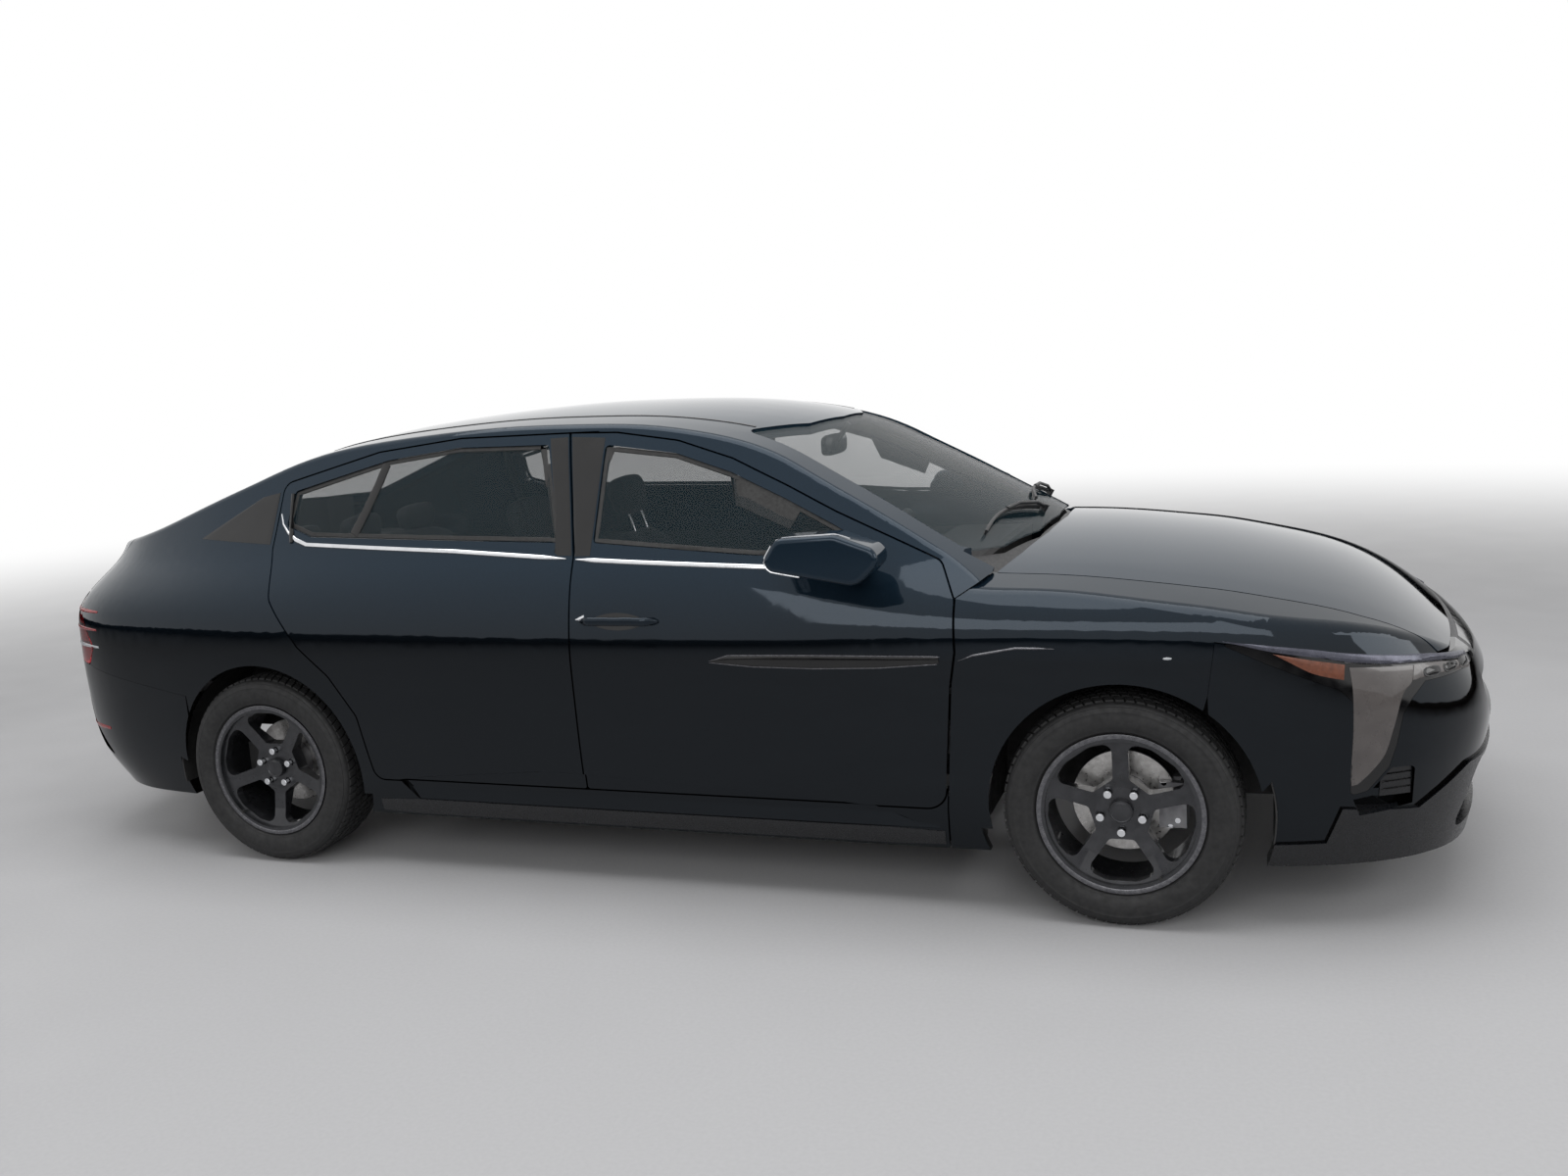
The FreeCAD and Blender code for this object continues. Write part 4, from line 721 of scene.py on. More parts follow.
DISC_FACE = [(-0.0352, 0.0725), (-0.0352, 0.1385), (-0.0362, 0.1392), (-0.0598, 0.1392), (-0.0608, 0.1380),
             (-0.0608, 0.0725)]
DISC_HUB = [(-0.0350, 0.0520), (0.0020, 0.0520), (0.0024, 0.0700), (0.0, 0.0712), (-0.0350, 0.0716)]
RIM_LIP = [(0.0906, 0.2176), (0.0922, 0.2176), (0.0928, 0.2150), (0.0926, 0.2080), (0.0914, 0.2052),
           (0.0902, 0.2056)]
VALVE_STEM = [(0.2020, 0.066), (0.1990, 0.075), (0.1960, 0.085), (0.1945, 0.094)]
NUT_FACE, FIRST_NUT = 0.0605, 54


def dress_wheel(place, word, side, axle, turn, valve_angle):
    """Tyre with its tread, nuts, cap, brake disc, rim lip and valve of one wheel."""
    name = "%s_%s" % (place, word)
    body = "wheel_" + name
    centre = Vector((axle, side * HALF_TRACK, HUB_HEIGHT))
    section = TYRE_SECTION + [(-s, r) for s, r in reversed(TYRE_SECTION[:-1])]
    tyre = lathe("tyre_with_tread_" + name, section, centre, TYRE_RUBBER, body, 120)
    merge(tyre, TREAD.grow("tread_" + name, {"Centre": tuple(centre)}, None))
    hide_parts("tyre_" + name)
    face = centre + Vector((0, side * NUT_FACE, 0))
    NUTS.grow("wheel_nuts_" + name, {"Centre": tuple(face), "First angle": math.radians(FIRST_NUT + turn)},
              body)
    for part, profile, material, steps in (
            ("centre_cap_", CAP, ALLOY, 40), ("brake_disc_face_", DISC_FACE, DISC_STEEL, 64),
            ("disc_hub_", DISC_HUB, CAST, 40), ("rim_lip_", RIM_LIP, RIM_EDGE, 96)):
        lathe(part + name, profile, centre, material, body, steps, side)
    run = Vector((math.cos(math.radians(valve_angle)), 0, math.sin(math.radians(valve_angle))))
    stem = [centre + run * radius + Vector((0, side * along, 0)) for radius, along in VALVE_STEM]
    cap = [stem[2], stem[3], stem[3] + Vector((0, side * 0.004, 0))]
    joined("valve_" + name, [rod(stem, 0.0040), rod(cap, 0.0048)], RUBBER, body)


TREAD, NUTS = tread_pattern(), nut_pattern()
for side, word in SIDES:
    dress_wheel("front", word, side, FRONT_AXLE, 0, -59)
    dress_wheel("rear", word, side, REAR_AXLE, 36, -131)


# Panels laid on the nose and tail corners, by angle round an upright pole inside each end
POLE = 1.65


def corner_skin(tree, side, pole):
    """Places on a corner of the body, by angle from the car's end round a pole inside it, and height."""
    facing = 1 if pole > 0 else -1

    def outermost(way, z):
        best, spot = -1.0, None
        for lift in (0.0, 0.008, -0.008):
            start = Vector((pole, 0, z + lift)) + way * 1.7
            place, normal = tree.ray_cast(start, -way)[:2]
            if place is None:
                continue
            out = (place - Vector((pole, 0, place.z))).dot(way)
            if spot is None or out > best + 0.004:
                best, spot = out, (place - Vector((0, 0, lift)), normal)
        return spot

    def reach(angle, z):
        way = Vector((facing * math.cos(math.radians(angle)), side * math.sin(math.radians(angle)), 0))
        place, normal = outermost(way, z) or tree.find_nearest(Vector((pole, 0, z)) + way * 0.8)[:2]
        return place, normal if normal.dot(way) > 0 else -normal
    return reach


def laid_panel(name, skin, low, high, rise, material, body, rows=5, per_span=5, edge=0.001):
    """A thin panel on a skin, between two curves of as many points."""
    return panel_between(name, skin, smooth_line(low, per_span), smooth_line(high, per_span), rise, material,
                         body, rows, edge)


def laid_disc(name, skin, centre, half, rise, material, body, power=2.0, crown=0.0, around=36, rings=5):
    """A rounded plate on a skin round a (u, v) centre, crowned in the middle."""
    points = []
    profile = [((k + 1) / rings, rise + crown * (1 - ((k + 1) / rings) ** 2)) for k in range(rings)]
    profile += [(1.04, rise * 0.55), (1.045, -0.0012)]
    for share, lift in profile:
        for c, s in circle(around):
            reach = share / (abs(c) ** power + abs(s) ** power) ** (1 / power)
            place, normal = skin(centre[0] + half[0] * reach * c, centre[1] + half[1] * reach * s)
            points.append(place + normal * lift)
    faces = tube_faces(len(profile), around)[:-2]
    place, normal = skin(*centre)
    points.append(place + normal * (rise + crown))
    faces += [(len(points) - 1, k, (k + 1) % around) for k in range(around)]
    faces.append(tuple(range((len(profile) - 1) * around, len(profile) * around)))
    return new_piece(name, points, faces, material, body)


BLADE_LOW = [(88.6, 0.7780), (81.7, 0.7520), (75.0, 0.7335), (70.2, 0.7185), (63.6, 0.7050), (56.0, 0.6950),
             (49.1, 0.6850), (41.0, 0.6720)]
BLADE_HIGH = [(89.0, 0.7805), (80.5, 0.7640), (75.0, 0.7520), (70.0, 0.7385), (61.5, 0.7215), (55.5, 0.7120),
              (49.1, 0.7000), (40.6, 0.6840)]
AMBER_LOW = [(80.6, 0.7390), (79.0, 0.7250), (75.5, 0.6950), (72.5, 0.6810), (70.5, 0.6740)]
AMBER_HIGH = [(81.4, 0.7460), (79.0, 0.7385), (75.5, 0.7270), (72.5, 0.7180), (70.2, 0.7110)]
LEG_REAR = [(69.0, 0.398), (69.2, 0.431), (69.2, 0.476), (69.1, 0.541), (69.1, 0.621), (69.2, 0.662),
            (69.5, 0.703)]
LEG_FRONT = [(68.0, 0.402), (66.1, 0.431), (63.9, 0.476), (62.6, 0.541), (60.8, 0.621), (58.6, 0.654),
             (57.9, 0.690)]
ARM_LOW = [(58.4, 0.655), (53.6, 0.658), (49.0, 0.655), (45.0, 0.650), (41.6, 0.646)]
ARM_HIGH = [(57.7, 0.690), (53.6, 0.687), (49.0, 0.680), (45.0, 0.673), (41.2, 0.665)]
LINE_LOW = [(angle, z - 0.0035) for angle, z in BLADE_LOW[3:]]
LINE_HIGH = [(angle, z - 0.0005) for angle, z in BLADE_LOW[3:]]
for side, word in SIDES:
    skin = corner_skin(tree_of("headlamps", "front_bumper", "front_fenders"), side, POLE)
    for part, low, high, rise, material, rows in (
            ("lamp_blade_", BLADE_LOW, BLADE_HIGH, 0.0030, BLADE_SATIN, 5),
            ("lamp_indicator_", AMBER_LOW, AMBER_HIGH, 0.0020, AMBER, 5),
            ("lamp_leg_", LEG_REAR, LEG_FRONT, 0.0022, LAMP_SHELL, 8),
            ("lamp_arm_", ARM_LOW, ARM_HIGH, 0.0022, LAMP_SHELL, 5),
            ("lamp_light_line_", LINE_LOW, LINE_HIGH, 0.0034, RIM_EDGE, 2)):
        laid_panel(part + word, skin, low, high, rise, material, "body", rows)
    for number, angle in enumerate((44.0, 49.0, 54.0)):
        tag = "%s_%d" % (word, number)
        laid_disc("lamp_bezel_" + tag, skin, (angle, 0.667), (2.0, 0.0115), 0.0034, SATIN_BLACK, "body", 3.0)
        laid_disc("lamp_lens_" + tag, skin, (angle, 0.667), (1.6, 0.0090), 0.0042, GLOSS_BLACK, "body", 3.0,
                  0.0018)
    tail = corner_skin(tree_of("tail_lamps", "rear_bumper", "side_frame_" + word), side, -POLE)
    for number, z in enumerate((0.700, 0.760, 0.820)):
        laid_panel("tail_light_bar_%s_%d" % (word, number), tail,
                   [(52 - 2 * number, z), (58, z), (64, z + 0.002), (68, z + 0.004)],
                   [(52 - 2 * number, z + 0.012), (58, z + 0.012), (64, z + 0.012), (68, z + 0.010)], 0.0022,
                   LIGHT_GUIDE if number == 0 else RED_GUIDE, "body", 3)


# Grille slats, laid out in rows along the bowed nose
def slat_pattern():
    """Rows of flat six-sided slats, every other row shifted by half a pitch."""
    grow = Growth("grille_slats")
    start = grow.size("Middle of the lowest row", (2.35, 0, 0.5), "NodeSocketVector")
    bow = grow.size("Bow", -0.2)
    lean = grow.size("Lean", 0.0)
    rows = grow.size("Rows", 6, "NodeSocketInt")
    columns = grow.size("Columns", 30, "NodeSocketInt")
    row_pitch = grow.size("Row pitch", 0.017)
    pitch = grow.size("Column pitch", 0.030)
    narrow = grow.size("Narrowing", 0.0)
    index = grow.geo("InputIndex")
    row = grow.calc("FLOOR", grow.over(index, columns))
    column = grow.calc("MODULO", index, columns)
    half = grow.times(grow.minus(columns, 1.0), 0.5)
    shift = grow.times(grow.minus(grow.calc("MODULO", row, 2.0), 0.5), 0.5)
    squeeze = grow.minus(1.0, grow.times(row, narrow))
    y = grow.times(grow.times(grow.plus(grow.minus(column, half), shift), pitch), squeeze)
    z = grow.times(row, row_pitch)
    x = grow.plus(grow.times(grow.times(y, y), bow), grow.times(z, lean))
    points = grow.geo("Points", Count=grow.times(rows, columns), Position=grow.vector(x, y, z))
    blank = grow.geo("MeshCylinder", Vertices=6, Side_Segments=1, Radius=0.0085, Depth=0.010)
    laid = grow.geo("Transform", Geometry=blank, Rotation=(0.0, math.radians(90), 0.0),
                    Scale=(1.0, 1.35, 0.42))
    turn = grow.vector(0.0, 0.0, grow.calc("ARCTANGENT", grow.times(grow.times(y, bow), -2.0)))
    placed = grow.geo("InstanceOnPoints", Points=points, Instance=laid, Rotation=turn)
    grow.finish(grow.geo("Transform", Geometry=placed, Translation=start), GRILLE_SLAT)
    return grow


def duct_skin(side):
    """The leaning back wall of the upright duct at each corner of the front bumper."""
    def reach(angle, z):
        way = Vector((math.cos(math.radians(angle)), side * math.sin(math.radians(angle)), 0))
        return Vector((POLE, 0, z)) + way * (0.884 + (z - 0.40) * 0.10), way
    return reach


for side, word in SIDES:
    duct = duct_skin(side)
    laid_panel("corner_duct_" + word, duct, [(63.9, 0.362), (62.0, 0.362), (60.0, 0.362), (58.3, 0.362)],
               [(63.9, 0.440), (62.0, 0.445), (60.0, 0.450), (58.3, 0.455)], 0.001, DARK_TRIM, "body", 4,
               edge=0.004)
    for number in range(3):
        z = 0.378 + 0.020 * number
        laid_panel("corner_duct_vane_%s_%d" % (word, number), duct,
                   [(63.6, z), (61.0, z + 0.001), (58.5, z + 0.002)],
                   [(63.6, z + 0.004), (61.0, z + 0.005), (58.5, z + 0.006)], 0.0050, GLOSS_BLACK, "body", 2,
                   edge=0.002)

SLATS = slat_pattern()
grille_skin = end_skin(tree_of("grille"), 1)
for name, low, high, wide, rows, row_pitch, pitch, narrow in (
        ("upper", 0.492, 0.586, 0.40, 6, 0.0172, 0.0290, -0.006),
        ("lower", 0.245, 0.385, 0.44, 8, 0.0180, 0.0290, -0.008)):
    middle, side_place, upper = (grille_skin(y, z)[0] for y, z in ((0, low), (wide * 0.8, low), (0, high)))
    SLATS.grow("grille_slats_" + name,
               {"Middle of the lowest row": (middle.x - 0.0035, 0.0, low),
                "Bow": (side_place.x - middle.x) / (wide * 0.8) ** 2,
                "Lean": (upper.x - middle.x) / (high - low), "Rows": rows, "Columns": int(2 * wide / pitch),
                "Row pitch": row_pitch, "Column pitch": pitch, "Narrowing": narrow}, "body")


def band(name, skin, half, low, high, rise, material, body, rows=3):
    """A laid panel across the nose or tail, between two heights and half a width each way in cm."""
    across = [y / 100 for y in range(-half, half + 1, 4)]
    laid_panel(name, skin, [(y, low) for y in across], [(y, high) for y in across], rise, material, body,
               rows, 2)


band("nose_band", grille_skin, 38, 0.655, 0.690, 0.0016, GLOSS_BLACK, "body")
laid_disc("bare_nose_disc", grille_skin, (0.0, 0.5400), (0.058, 0.036), 0.0020, GLOSS_BLACK, "body", 2.0,
          0.0022)
band("front_plate_plinth", end_skin(tree_of("front_bumper", "grille"), 1), 26, 0.405, 0.470, 0.0022,
     SATIN_BLACK, "body")

# Tail: bare plate recess with its lights, lid bar, lower reflectors
lid_skin = end_skin(tree_of("boot_lid"), -1)
band("lid_bar", lid_skin, 52, 0.870, 0.884, 0.0030, CHROME, "boot_lid")
band("plate_recess", lid_skin, 26, 0.752, 0.852, 0.0018, SATIN_BLACK, "boot_lid", 4)
for side, word in SIDES:
    laid_disc("plate_light_" + word, lid_skin, (side * 0.13, 0.861), (0.020, 0.004), 0.0016, LIGHT_GUIDE,
              "boot_lid", 4.0)
    laid_panel("rear_reflector_" + word, corner_skin(tree_of("rear_bumper"), side, -POLE),
               [(50, 0.402), (58, 0.404), (66, 0.410)], [(50, 0.420), (58, 0.420), (66, 0.421)], 0.0020,
               RED_GUIDE, "body", 3)


# Mirrors, wipers and roof strips
for side, word in SIDES:
    case = tree_of("mirror_" + word)
    rear_face, case_top = end_skin(case, -1), top_skin(case)
    door = "door_front_" + word
    laid_disc("mirror_glass_" + word, rear_face, (side * 0.942, 1.012), (0.060, 0.040), 0.0012, MIRROR_GLASS,
              door, 4.0)
    edge = [rear_face(side * 1.010, 0.965 + 0.007 * i) for i in range(13)]
    seam = [case_top(0.520 + 0.02 * i, side * (1.006 - 0.0016 * i)) for i in range(12)]
    for part, line, rise, radius in (("edge", edge, 0.0006, 0.0028), ("seam", seam, 0.0002, 0.0014)):
        joined("mirror_%s_%s" % (part, word), [rod([place + normal * rise for place, normal in line],
                                                   radius, 8)], CHROME, door)

screen = top_skin(tree_of("windscreen"))
WIPER_BOW = 0.030


def wiper(name, pivot, tip):
    """A blade with its rubber, an arm and a pivot, laid over the windscreen between two (x, y) places."""
    def above(share, lift):
        place, normal = screen(pivot[0] + (tip[0] - pivot[0]) * share - WIPER_BOW * math.sin(math.pi * share),
                               pivot[1] + (tip[1] - pivot[1]) * share)
        return place + normal * lift
    shares = [0.06 + 0.94 * i / 20 for i in range(21)]
    arm = ((0.0, 0.014), (0.12, 0.026), (0.34, 0.026), (0.50, 0.016))
    place, normal = screen(*pivot)
    joined(name, [rod([above(share, 0.006) for share in shares], 0.0038, 8),
                  rod([above(share, 0.013) for share in shares], 0.0050, 8),
                  rod([above(share, lift) for share, lift in arm], 0.0060, 8),
                  rod([place + normal * height for height in (-0.002, 0.010, 0.020, 0.022)], 0.011, 16)],
           SATIN_BLACK, "body")


wiper("wiper_left", (1.030, 0.52), (1.060, 0.02))
wiper("wiper_right", (1.098, -0.05), (1.010, -0.56))

roof_skin = top_skin(tree_of("roof_panel", "side_frame_right", "side_frame_left"))
STRIP_SECTION = ((-0.0065, -0.001), (-0.005, 0.0016), (0.0, 0.0026), (0.005, 0.0016), (0.0065, -0.001))
for side, word in SIDES:
    line = [roof_skin(-1.20 + 0.04 * i, side * 0.522) for i in range(39)]
    points = [place + Vector((0, across, 0)) + normal * rise
              for place, normal in line for across, rise in STRIP_SECTION]
    new_piece("roof_strip_" + word, points, tube_faces(len(line), 5), GLOSS_BLACK, "body")


# Cabin: door cards, screens, vents and inner mirror
for side, word in SIDES:
    for place, low_x, high_x in (("front", -0.02, 0.86), ("rear", -1.02, -0.24)):
        tag = "%s_%s" % (place, word)
        door = "door_" + tag
        inner = skin_from(tree_of(door), 1, side * 0.30, side * 0.8, True)
        columns = [low_x + (high_x - low_x) * i / 8 for i in range(9)]
        for part, along, low, high, rise, material, rows in (
                ("door_card_", columns, 0.43, 0.86, 0.0040, GRAINED, 12),
                ("door_inlay_", columns[1:-1], 0.700, 0.800, 0.0070, SEAT_CLOTH, 5)):
            laid_panel(part + tag, inner, [(x, low) for x in along], [(x, high) for x in along], rise,
                       material, door, rows, 2)
        laid_disc("door_speaker_" + tag, inner, (columns[6], 0.52), (0.066, 0.066), 0.0065, SATIN_BLACK, door,
                  2.0, 0.003)
        laid_disc("door_pull_" + tag, inner, (columns[4], 0.752), (0.045, 0.011), 0.0110, CHROME, door, 4.0,
                  0.002)

dash_skin = skin_from(tree_of("dashboard"), 0, -0.6, 0.5, True)
laid_disc("centre_screen", dash_skin, (-0.04, 0.800), (0.150, 0.046), 0.0120, GLOSS_BLACK, "body", 8.0)
laid_disc("driver_display", dash_skin, (0.370, 0.815), (0.120, 0.042), 0.0100, GLOSS_BLACK, "body", 6.0)
for number, (y, z) in enumerate(((-0.60, 0.775), (-0.28, 0.745), (0.18, 0.745), (0.60, 0.775))):
    laid_disc("air_vent_%d" % number, dash_skin, (y, z), (0.058, 0.020), 0.0060, SATIN_SILVER, "body", 6.0)
    for row in range(4):
        laid_disc("air_vent_vane_%d_%d" % (number, row), dash_skin, (y, z - 0.0115 + 0.0077 * row),
                  (0.053, 0.0020), 0.0080, SATIN_BLACK, "body", 6.0, rings=2)


def inner_mirror():
    """A rounded mirror on a bent stay under the top of the windscreen."""
    place = screen(0.410, 0.0)[0]
    head = Vector((place.x - 0.055, 0.0, place.z - 0.075))
    outline = [(math.copysign(abs(c) ** 0.5, c), math.copysign(abs(s) ** 0.5, s)) for c, s in circle(20)]
    points = [head + Vector((along, 0.120 * scale * c, 0.034 * scale * s))
              for along, scale in ((-0.010, 0.90), (-0.008, 1.0), (0.008, 1.0), (0.016, 0.80))
              for c, s in outline]
    stay = [head + Vector((0.012, 0, 0.010)), head + Vector((0.030, 0, 0.035)),
            place + Vector((0.0, 0, -0.006))]
    joined("rear_view_mirror", [(points, tube_faces(4, 20)), rod(stay, 0.009, 12)], GLOSS_BLACK, "body")


inner_mirror()

# Caliper bolts, seen through the spokes
for side, word in SIDES:
    caliper = side_skin(tree_of("knuckle_" + word), side)
    for number, (x, z) in enumerate(((1.512, 0.372), (1.536, 0.350), (1.547, 0.270), (1.528, 0.252))):
        laid_disc("caliper_bolt_%s_%d" % (word, number), caliper, (x, z), (0.0075, 0.0075), 0.0012, CHROME,
                  "knuckle_" + word, 2.0, 0.0003, 12, 2)


# Seats: each pad is a closed form that swells under pressure, then gets its sewn channels
PRESSURE, CLOTH_STEPS, EVEN_CELL = 4.0, 20, 0.014
SEAM_DEPTH, SEAM_WIDTH = 0.0055, 0.007


def rounded_form(half, shape, power=5.0):
    """A closed box-like form with soft corners, cut fine enough to remesh."""
    form = bmesh.new()
    bmesh.ops.create_cube(form, size=2.0)
    bmesh.ops.subdivide_edges(form, edges=form.edges, cuts=11, use_grid_fill=True)
    for vertex in form.verts:
        length = sum(abs(c) ** power for c in vertex.co) ** (1 / power)
        soft = vertex.co.copy() / length
        vertex.co = Vector((soft.x * half.x, soft.y * half.y, soft.z * half.z)) + shape(soft)
    return form


def swollen(form, name, cap):
    """Remeshes a form and lets cloth under pressure fill it, moving no point further than cap."""
    mesh = bpy.data.meshes.new(name)
    form.to_mesh(mesh)
    form.free()
    trial = linked(name + "_trial", mesh)
    remesh = trial.modifiers.new("even", "REMESH")
    remesh.mode = "VOXEL"
    remesh.voxel_size = EVEN_CELL
    even = baked(trial)
    trial.modifiers.clear()
    trial.data = even
    start = [v.co.copy() for v in even.vertices]
    cloth = trial.modifiers.new("cloth", "CLOTH")
    cloth.settings.use_pressure = True
    cloth.settings.uniform_pressure_force = PRESSURE
    cloth.settings.effector_weights.gravity = 0.0
    cloth.settings.tension_stiffness = 25.0
    cloth.point_cache.frame_start = 1
    cloth.point_cache.frame_end = CLOTH_STEPS
    for step in range(1, CLOTH_STEPS + 1):
        bpy.context.scene.frame_set(step)
    grown = baked(trial)
    trial.modifiers.clear()
    bpy.context.scene.frame_set(1)
    for old, vertex, new in zip(start, even.vertices, grown.vertices):
        move = new.co - old
        if move.length > cap:
            move = move.normalized() * cap
        vertex.co = old + move
    even.update()
    bpy.data.objects.remove(trial)
    return even


def seam_depth(vertex, seams):
    """How deep the sewn channels press a vertex in.

    A seam lies at place on the across axis, on both sides of the middle where place is positive. It
    runs from low to high along the third axis, on the skin that looks along facing."""
    depth = 0.0
    for across, place, low, high, facing in seams:
        along = 3 - across - facing
        if vertex.normal[facing] > 0.35 and low <= vertex.co[along] <= high:
            apart = abs(vertex.co[across]) - place if place >= 0 else abs(vertex.co[across] - place)
            depth = max(depth, SEAM_DEPTH * math.exp(-(apart / SEAM_WIDTH) ** 2))
    return depth


def pad_piece(name, half, shape, seams, centre, lean, pivot, cap=0.014):
    """A cushion in its own frame, with seams pressed into its skin, leaned back about pivot."""
    mesh = swollen(rounded_form(half, shape), name, cap)
    fine = bmesh.new()
    fine.from_mesh(mesh)
    bmesh.ops.subdivide_edges(fine, edges=fine.edges, cuts=1, use_grid_fill=True)
    for _ in range(3):
        bmesh.ops.smooth_vert(fine, verts=fine.verts, factor=0.5, use_axis_x=True, use_axis_y=True,
                              use_axis_z=True)
    fine.normal_update()
    turn = Matrix.Rotation(math.radians(lean), 4, "Y")
    place = Matrix.Translation(pivot) @ turn @ Matrix.Translation(Vector(centre) - Vector(pivot))
    for vertex in fine.verts:
        vertex.co += vertex.normal * -seam_depth(vertex, seams)
        vertex.co = place @ vertex.co
    fine.to_mesh(mesh)
    fine.free()
    mesh.materials.clear()
    mesh.materials.append(SEAT_CLOTH)
    mesh.shade_smooth()
    piece = linked(name, mesh)
    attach(piece, "body")
    return piece


def cushion_form(soft):
    bolster = max(0.0, abs(soft.y) - 0.62) * 0.11
    dip = -0.018 * (1 - min(1.0, abs(soft.y) / 0.62) ** 2) if soft.z > 0 else 0.0
    return Vector((0, 0, (bolster if soft.z > 0 else 0.0) + dip + (0.014 * soft.x if soft.z > 0 else 0.0)))


def back_form(soft):
    front = soft.x > 0
    bolster = max(0.0, abs(soft.y) - 0.60) * 0.13 * (1 - max(0.0, soft.z) * 0.6)
    narrow = -0.055 * max(0.0, soft.z) ** 2 * soft.y
    return Vector(((bolster - 0.014 * (1 - abs(soft.y))) if front else 0.0, narrow, 0))


def head_form(soft):
    return Vector((0.014 * soft.z if soft.x > 0 else 0.0, -0.012 * abs(soft.z) * soft.y, 0))


def bench_dip(soft, depth):
    """A shallow hollow at each of the two outer places."""
    return -depth * math.cos(math.pi * min(1.0, abs(abs(soft.y) - 0.52) / 0.4) / 2)


def bench_form(soft):
    return Vector((0, 0, bench_dip(soft, 0.016) if soft.z > 0 else 0.0))


def bench_back_form(soft):
    return Vector((bench_dip(soft, 0.014) if soft.x > 0 else 0.0, 0, 0))


# Seams are (across, place, low, high, facing), with the axes numbered 0, 1, 2
CUSHION_SEAMS = [(1, 0.150, -0.21, 0.22, 2), (0, 0.105, -0.15, 0.15, 2), (0, -0.02, -0.15, 0.15, 2)]
BACK_SEAMS = [(1, 0.145, -0.30, 0.27, 0), (2, 0.160, -0.14, 0.14, 0), (2, -0.06, -0.14, 0.14, 0)]
HEAD_SEAMS = [(1, 0.085, -0.06, 0.06, 0)]
BENCH_SEAMS = [(1, 0.240, -0.2, 0.2, 2), (0, 0.11, -0.56, 0.56, 2)]
BENCH_BACK_SEAMS = [(1, 0.240, -0.24, 0.24, 0), (2, 0.12, -0.56, 0.56, 0)]
SEAT_BASE, RECLINE = 0.310, -18
for side, word in SIDES:
    middle = side * 0.370
    lean_point = Vector((-0.330, middle, SEAT_BASE + 0.100))
    pad_piece("seat_cushion_" + word, Vector((0.232, 0.232, 0.070)), cushion_form, CUSHION_SEAMS,
              (-0.080, middle, SEAT_BASE + 0.082), 0, lean_point)
    pad_piece("seat_back_" + word, Vector((0.055, 0.232, 0.295)), back_form, BACK_SEAMS,
              (-0.380, middle, SEAT_BASE + 0.372), RECLINE, lean_point)
    pad_piece("headrest_" + word, Vector((0.036, 0.118, 0.072)), head_form, HEAD_SEAMS,
              (-0.345, middle, SEAT_BASE + 0.787), RECLINE, lean_point, 0.008)
    turn = Matrix.Translation(lean_point) @ Matrix.Rotation(math.radians(RECLINE), 4, "Y")
    stays = [rod([turn @ Vector((-0.015, y, z)) for z in (0.545, 0.600, 0.640)], 0.006)
             for y in (-0.055, 0.055)]
    joined("headrest_stays_" + word, stays, CHROME, "body")
    rails = []
    for y in (middle - 0.165, middle + 0.165):
        rails.append(rod([(-0.270, y, 0.262), (-0.090, y, 0.268), (0.105, y, 0.262)], 0.011))
        for x in (-0.250, 0.090):
            rails.append(rod([(x, y, 0.253), (x, y, 0.285), (x + 0.01, y, 0.318)], 0.012))
    base = joined("seat_rails_" + word, rails, SATIN_BLACK, "body")
    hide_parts("front_seats")

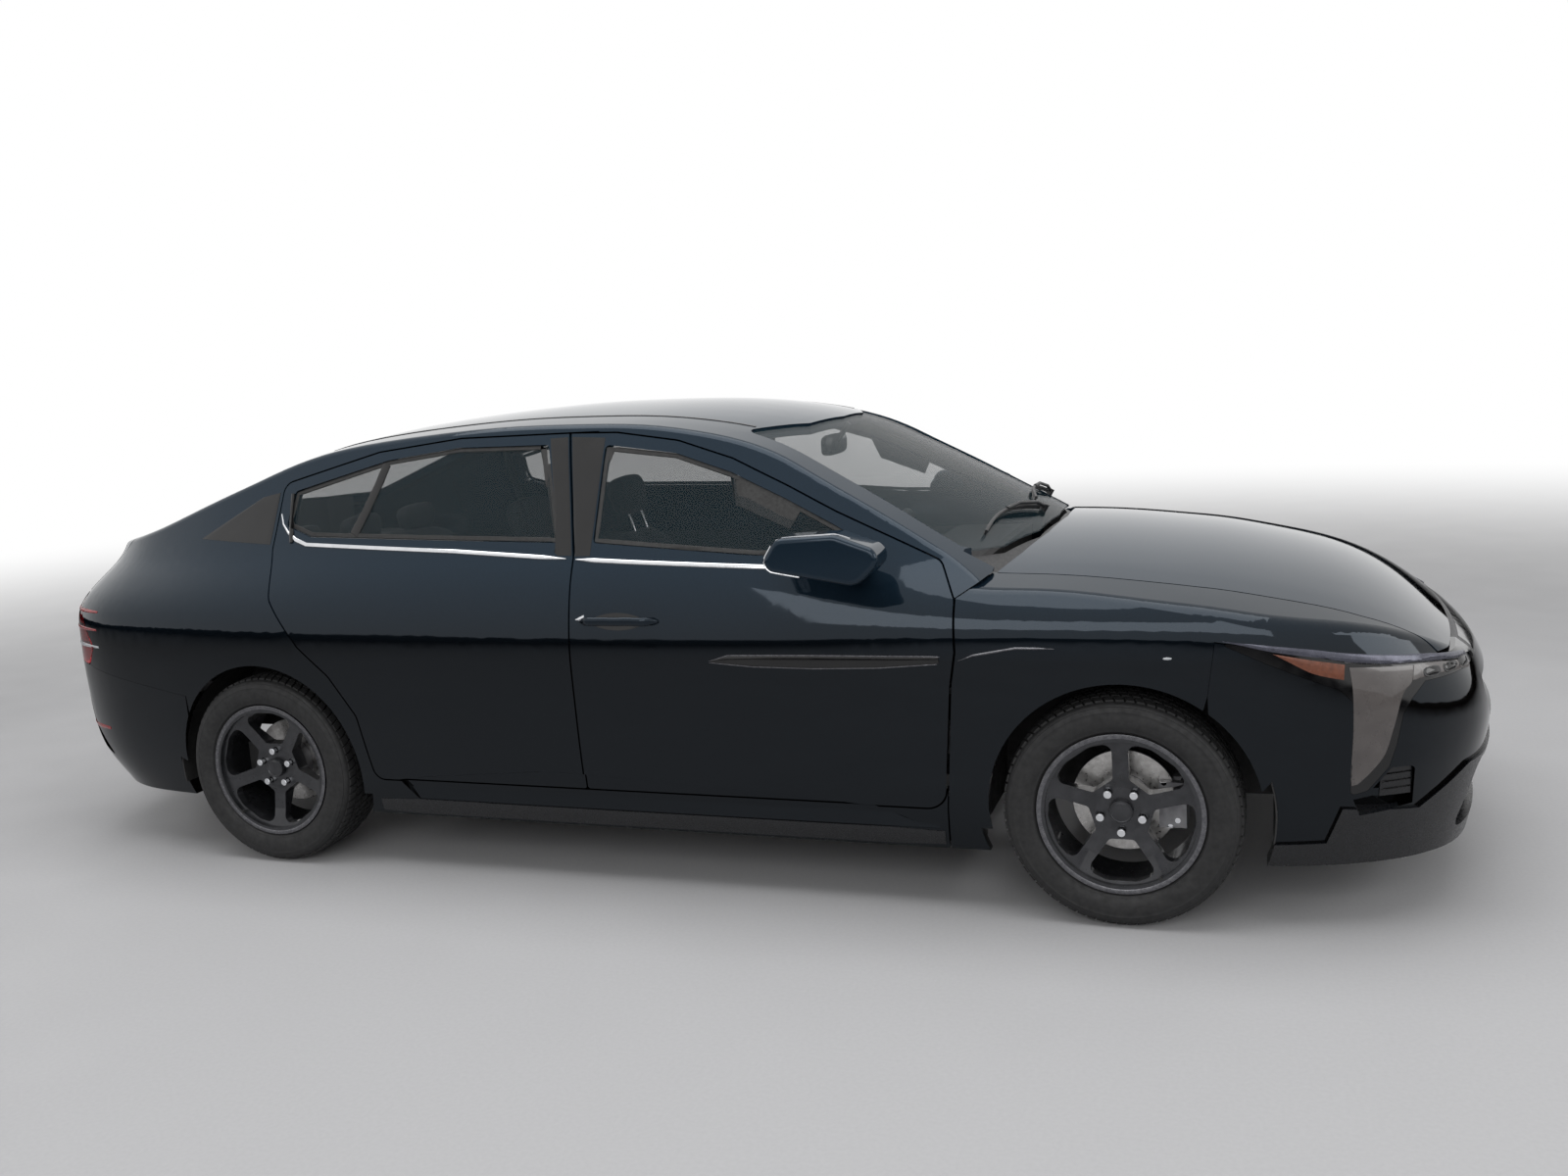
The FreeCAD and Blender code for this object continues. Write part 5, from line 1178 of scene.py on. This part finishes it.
bench_point = Vector((-1.34, 0, 0.44))
pad_piece("bench_cushion", Vector((0.222, 0.585, 0.058)), bench_form, BENCH_SEAMS, (-1.095, 0, 0.484), 0,
          bench_point, 0.012)
bench_back = pad_piece("bench_back", Vector((0.046, 0.585, 0.268)), bench_back_form, BENCH_BACK_SEAMS,
                       (-1.340, 0, 0.725), RECLINE, bench_point, 0.012)
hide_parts("rear_bench")
for number, y in ((14, -0.36), (50, 0.0), (86, 0.36)):
    pad_piece("bench_headrest_%d" % number, Vector((0.034, 0.105, 0.050)), head_form, [], (-1.338, y, 1.022),
              RECLINE, bench_point, 0.006)


# Studio floor, which fades to white far from the car, and a world that lights it softly
def studio_floor():
    mesh = bpy.data.meshes.new("floor")
    reach = 60.0
    mesh.from_pydata([(-reach, -reach, 0), (reach, -reach, 0), (reach, reach, 0), (-reach, reach, 0)], [],
                     [(0, 1, 2, 3)])
    floor = linked("studio_floor", mesh)
    made = Finish("pale_floor")
    made.link(made.tone(made.noise(90.0, 3.0), (0.44, 0.44, 0.45), (0.50, 0.50, 0.51)), "Base Color")
    made.link(made.spread(made.noise(3.0, 3.0), 0.6, 0.75), "Roughness")
    far = made.node("ShaderNodeVectorMath", {"operation": "LENGTH"}, n0=made.coords)["Value"]
    fade = made.node("ShaderNodeMapRange", {"interpolation_type": "SMOOTHSTEP"}, Value=far, From_Min=4.0,
                     From_Max=13.0)["Result"]
    seen = made.node("ShaderNodeLightPath", {})["Is Camera Ray"]
    white = made.node("ShaderNodeEmission", {}, Strength=seen)["Emission"]
    mixed = made.node("ShaderNodeMixShader", {}, Fac=fade, n1=made.shader.outputs["BSDF"], n2=white)
    made.tree.links.new(mixed["Shader"], made.tree.nodes["Material Output"].inputs["Surface"])
    mesh.materials.append(made.material)


def studio_world():
    """White where the camera, a reflection or clear glass sees it, and dimmer as a light."""
    world = bpy.data.worlds.new("studio")
    world.use_nodes = True
    made = Nodes(world.node_tree)
    path = made.node("ShaderNodeLightPath", {})
    seen = path["Is Camera Ray"]
    for ray in ("Is Glossy Ray", "Is Transmission Ray"):
        seen = made.node("ShaderNodeMath", {"operation": "MAXIMUM"}, n0=seen, n1=path[ray])[0]
    strength = made.node("ShaderNodeMapRange", {}, Value=seen, To_Min=0.35, To_Max=1.0)["Result"]
    background = made.tree.nodes["Background"]
    made.tree.links.new(strength, background.inputs["Strength"])
    background.inputs["Color"].default_value = (1, 1, 1, 1)
    bpy.context.scene.world = world


studio_floor()
studio_world()
bpy.context.scene.view_settings.view_transform = "Standard"
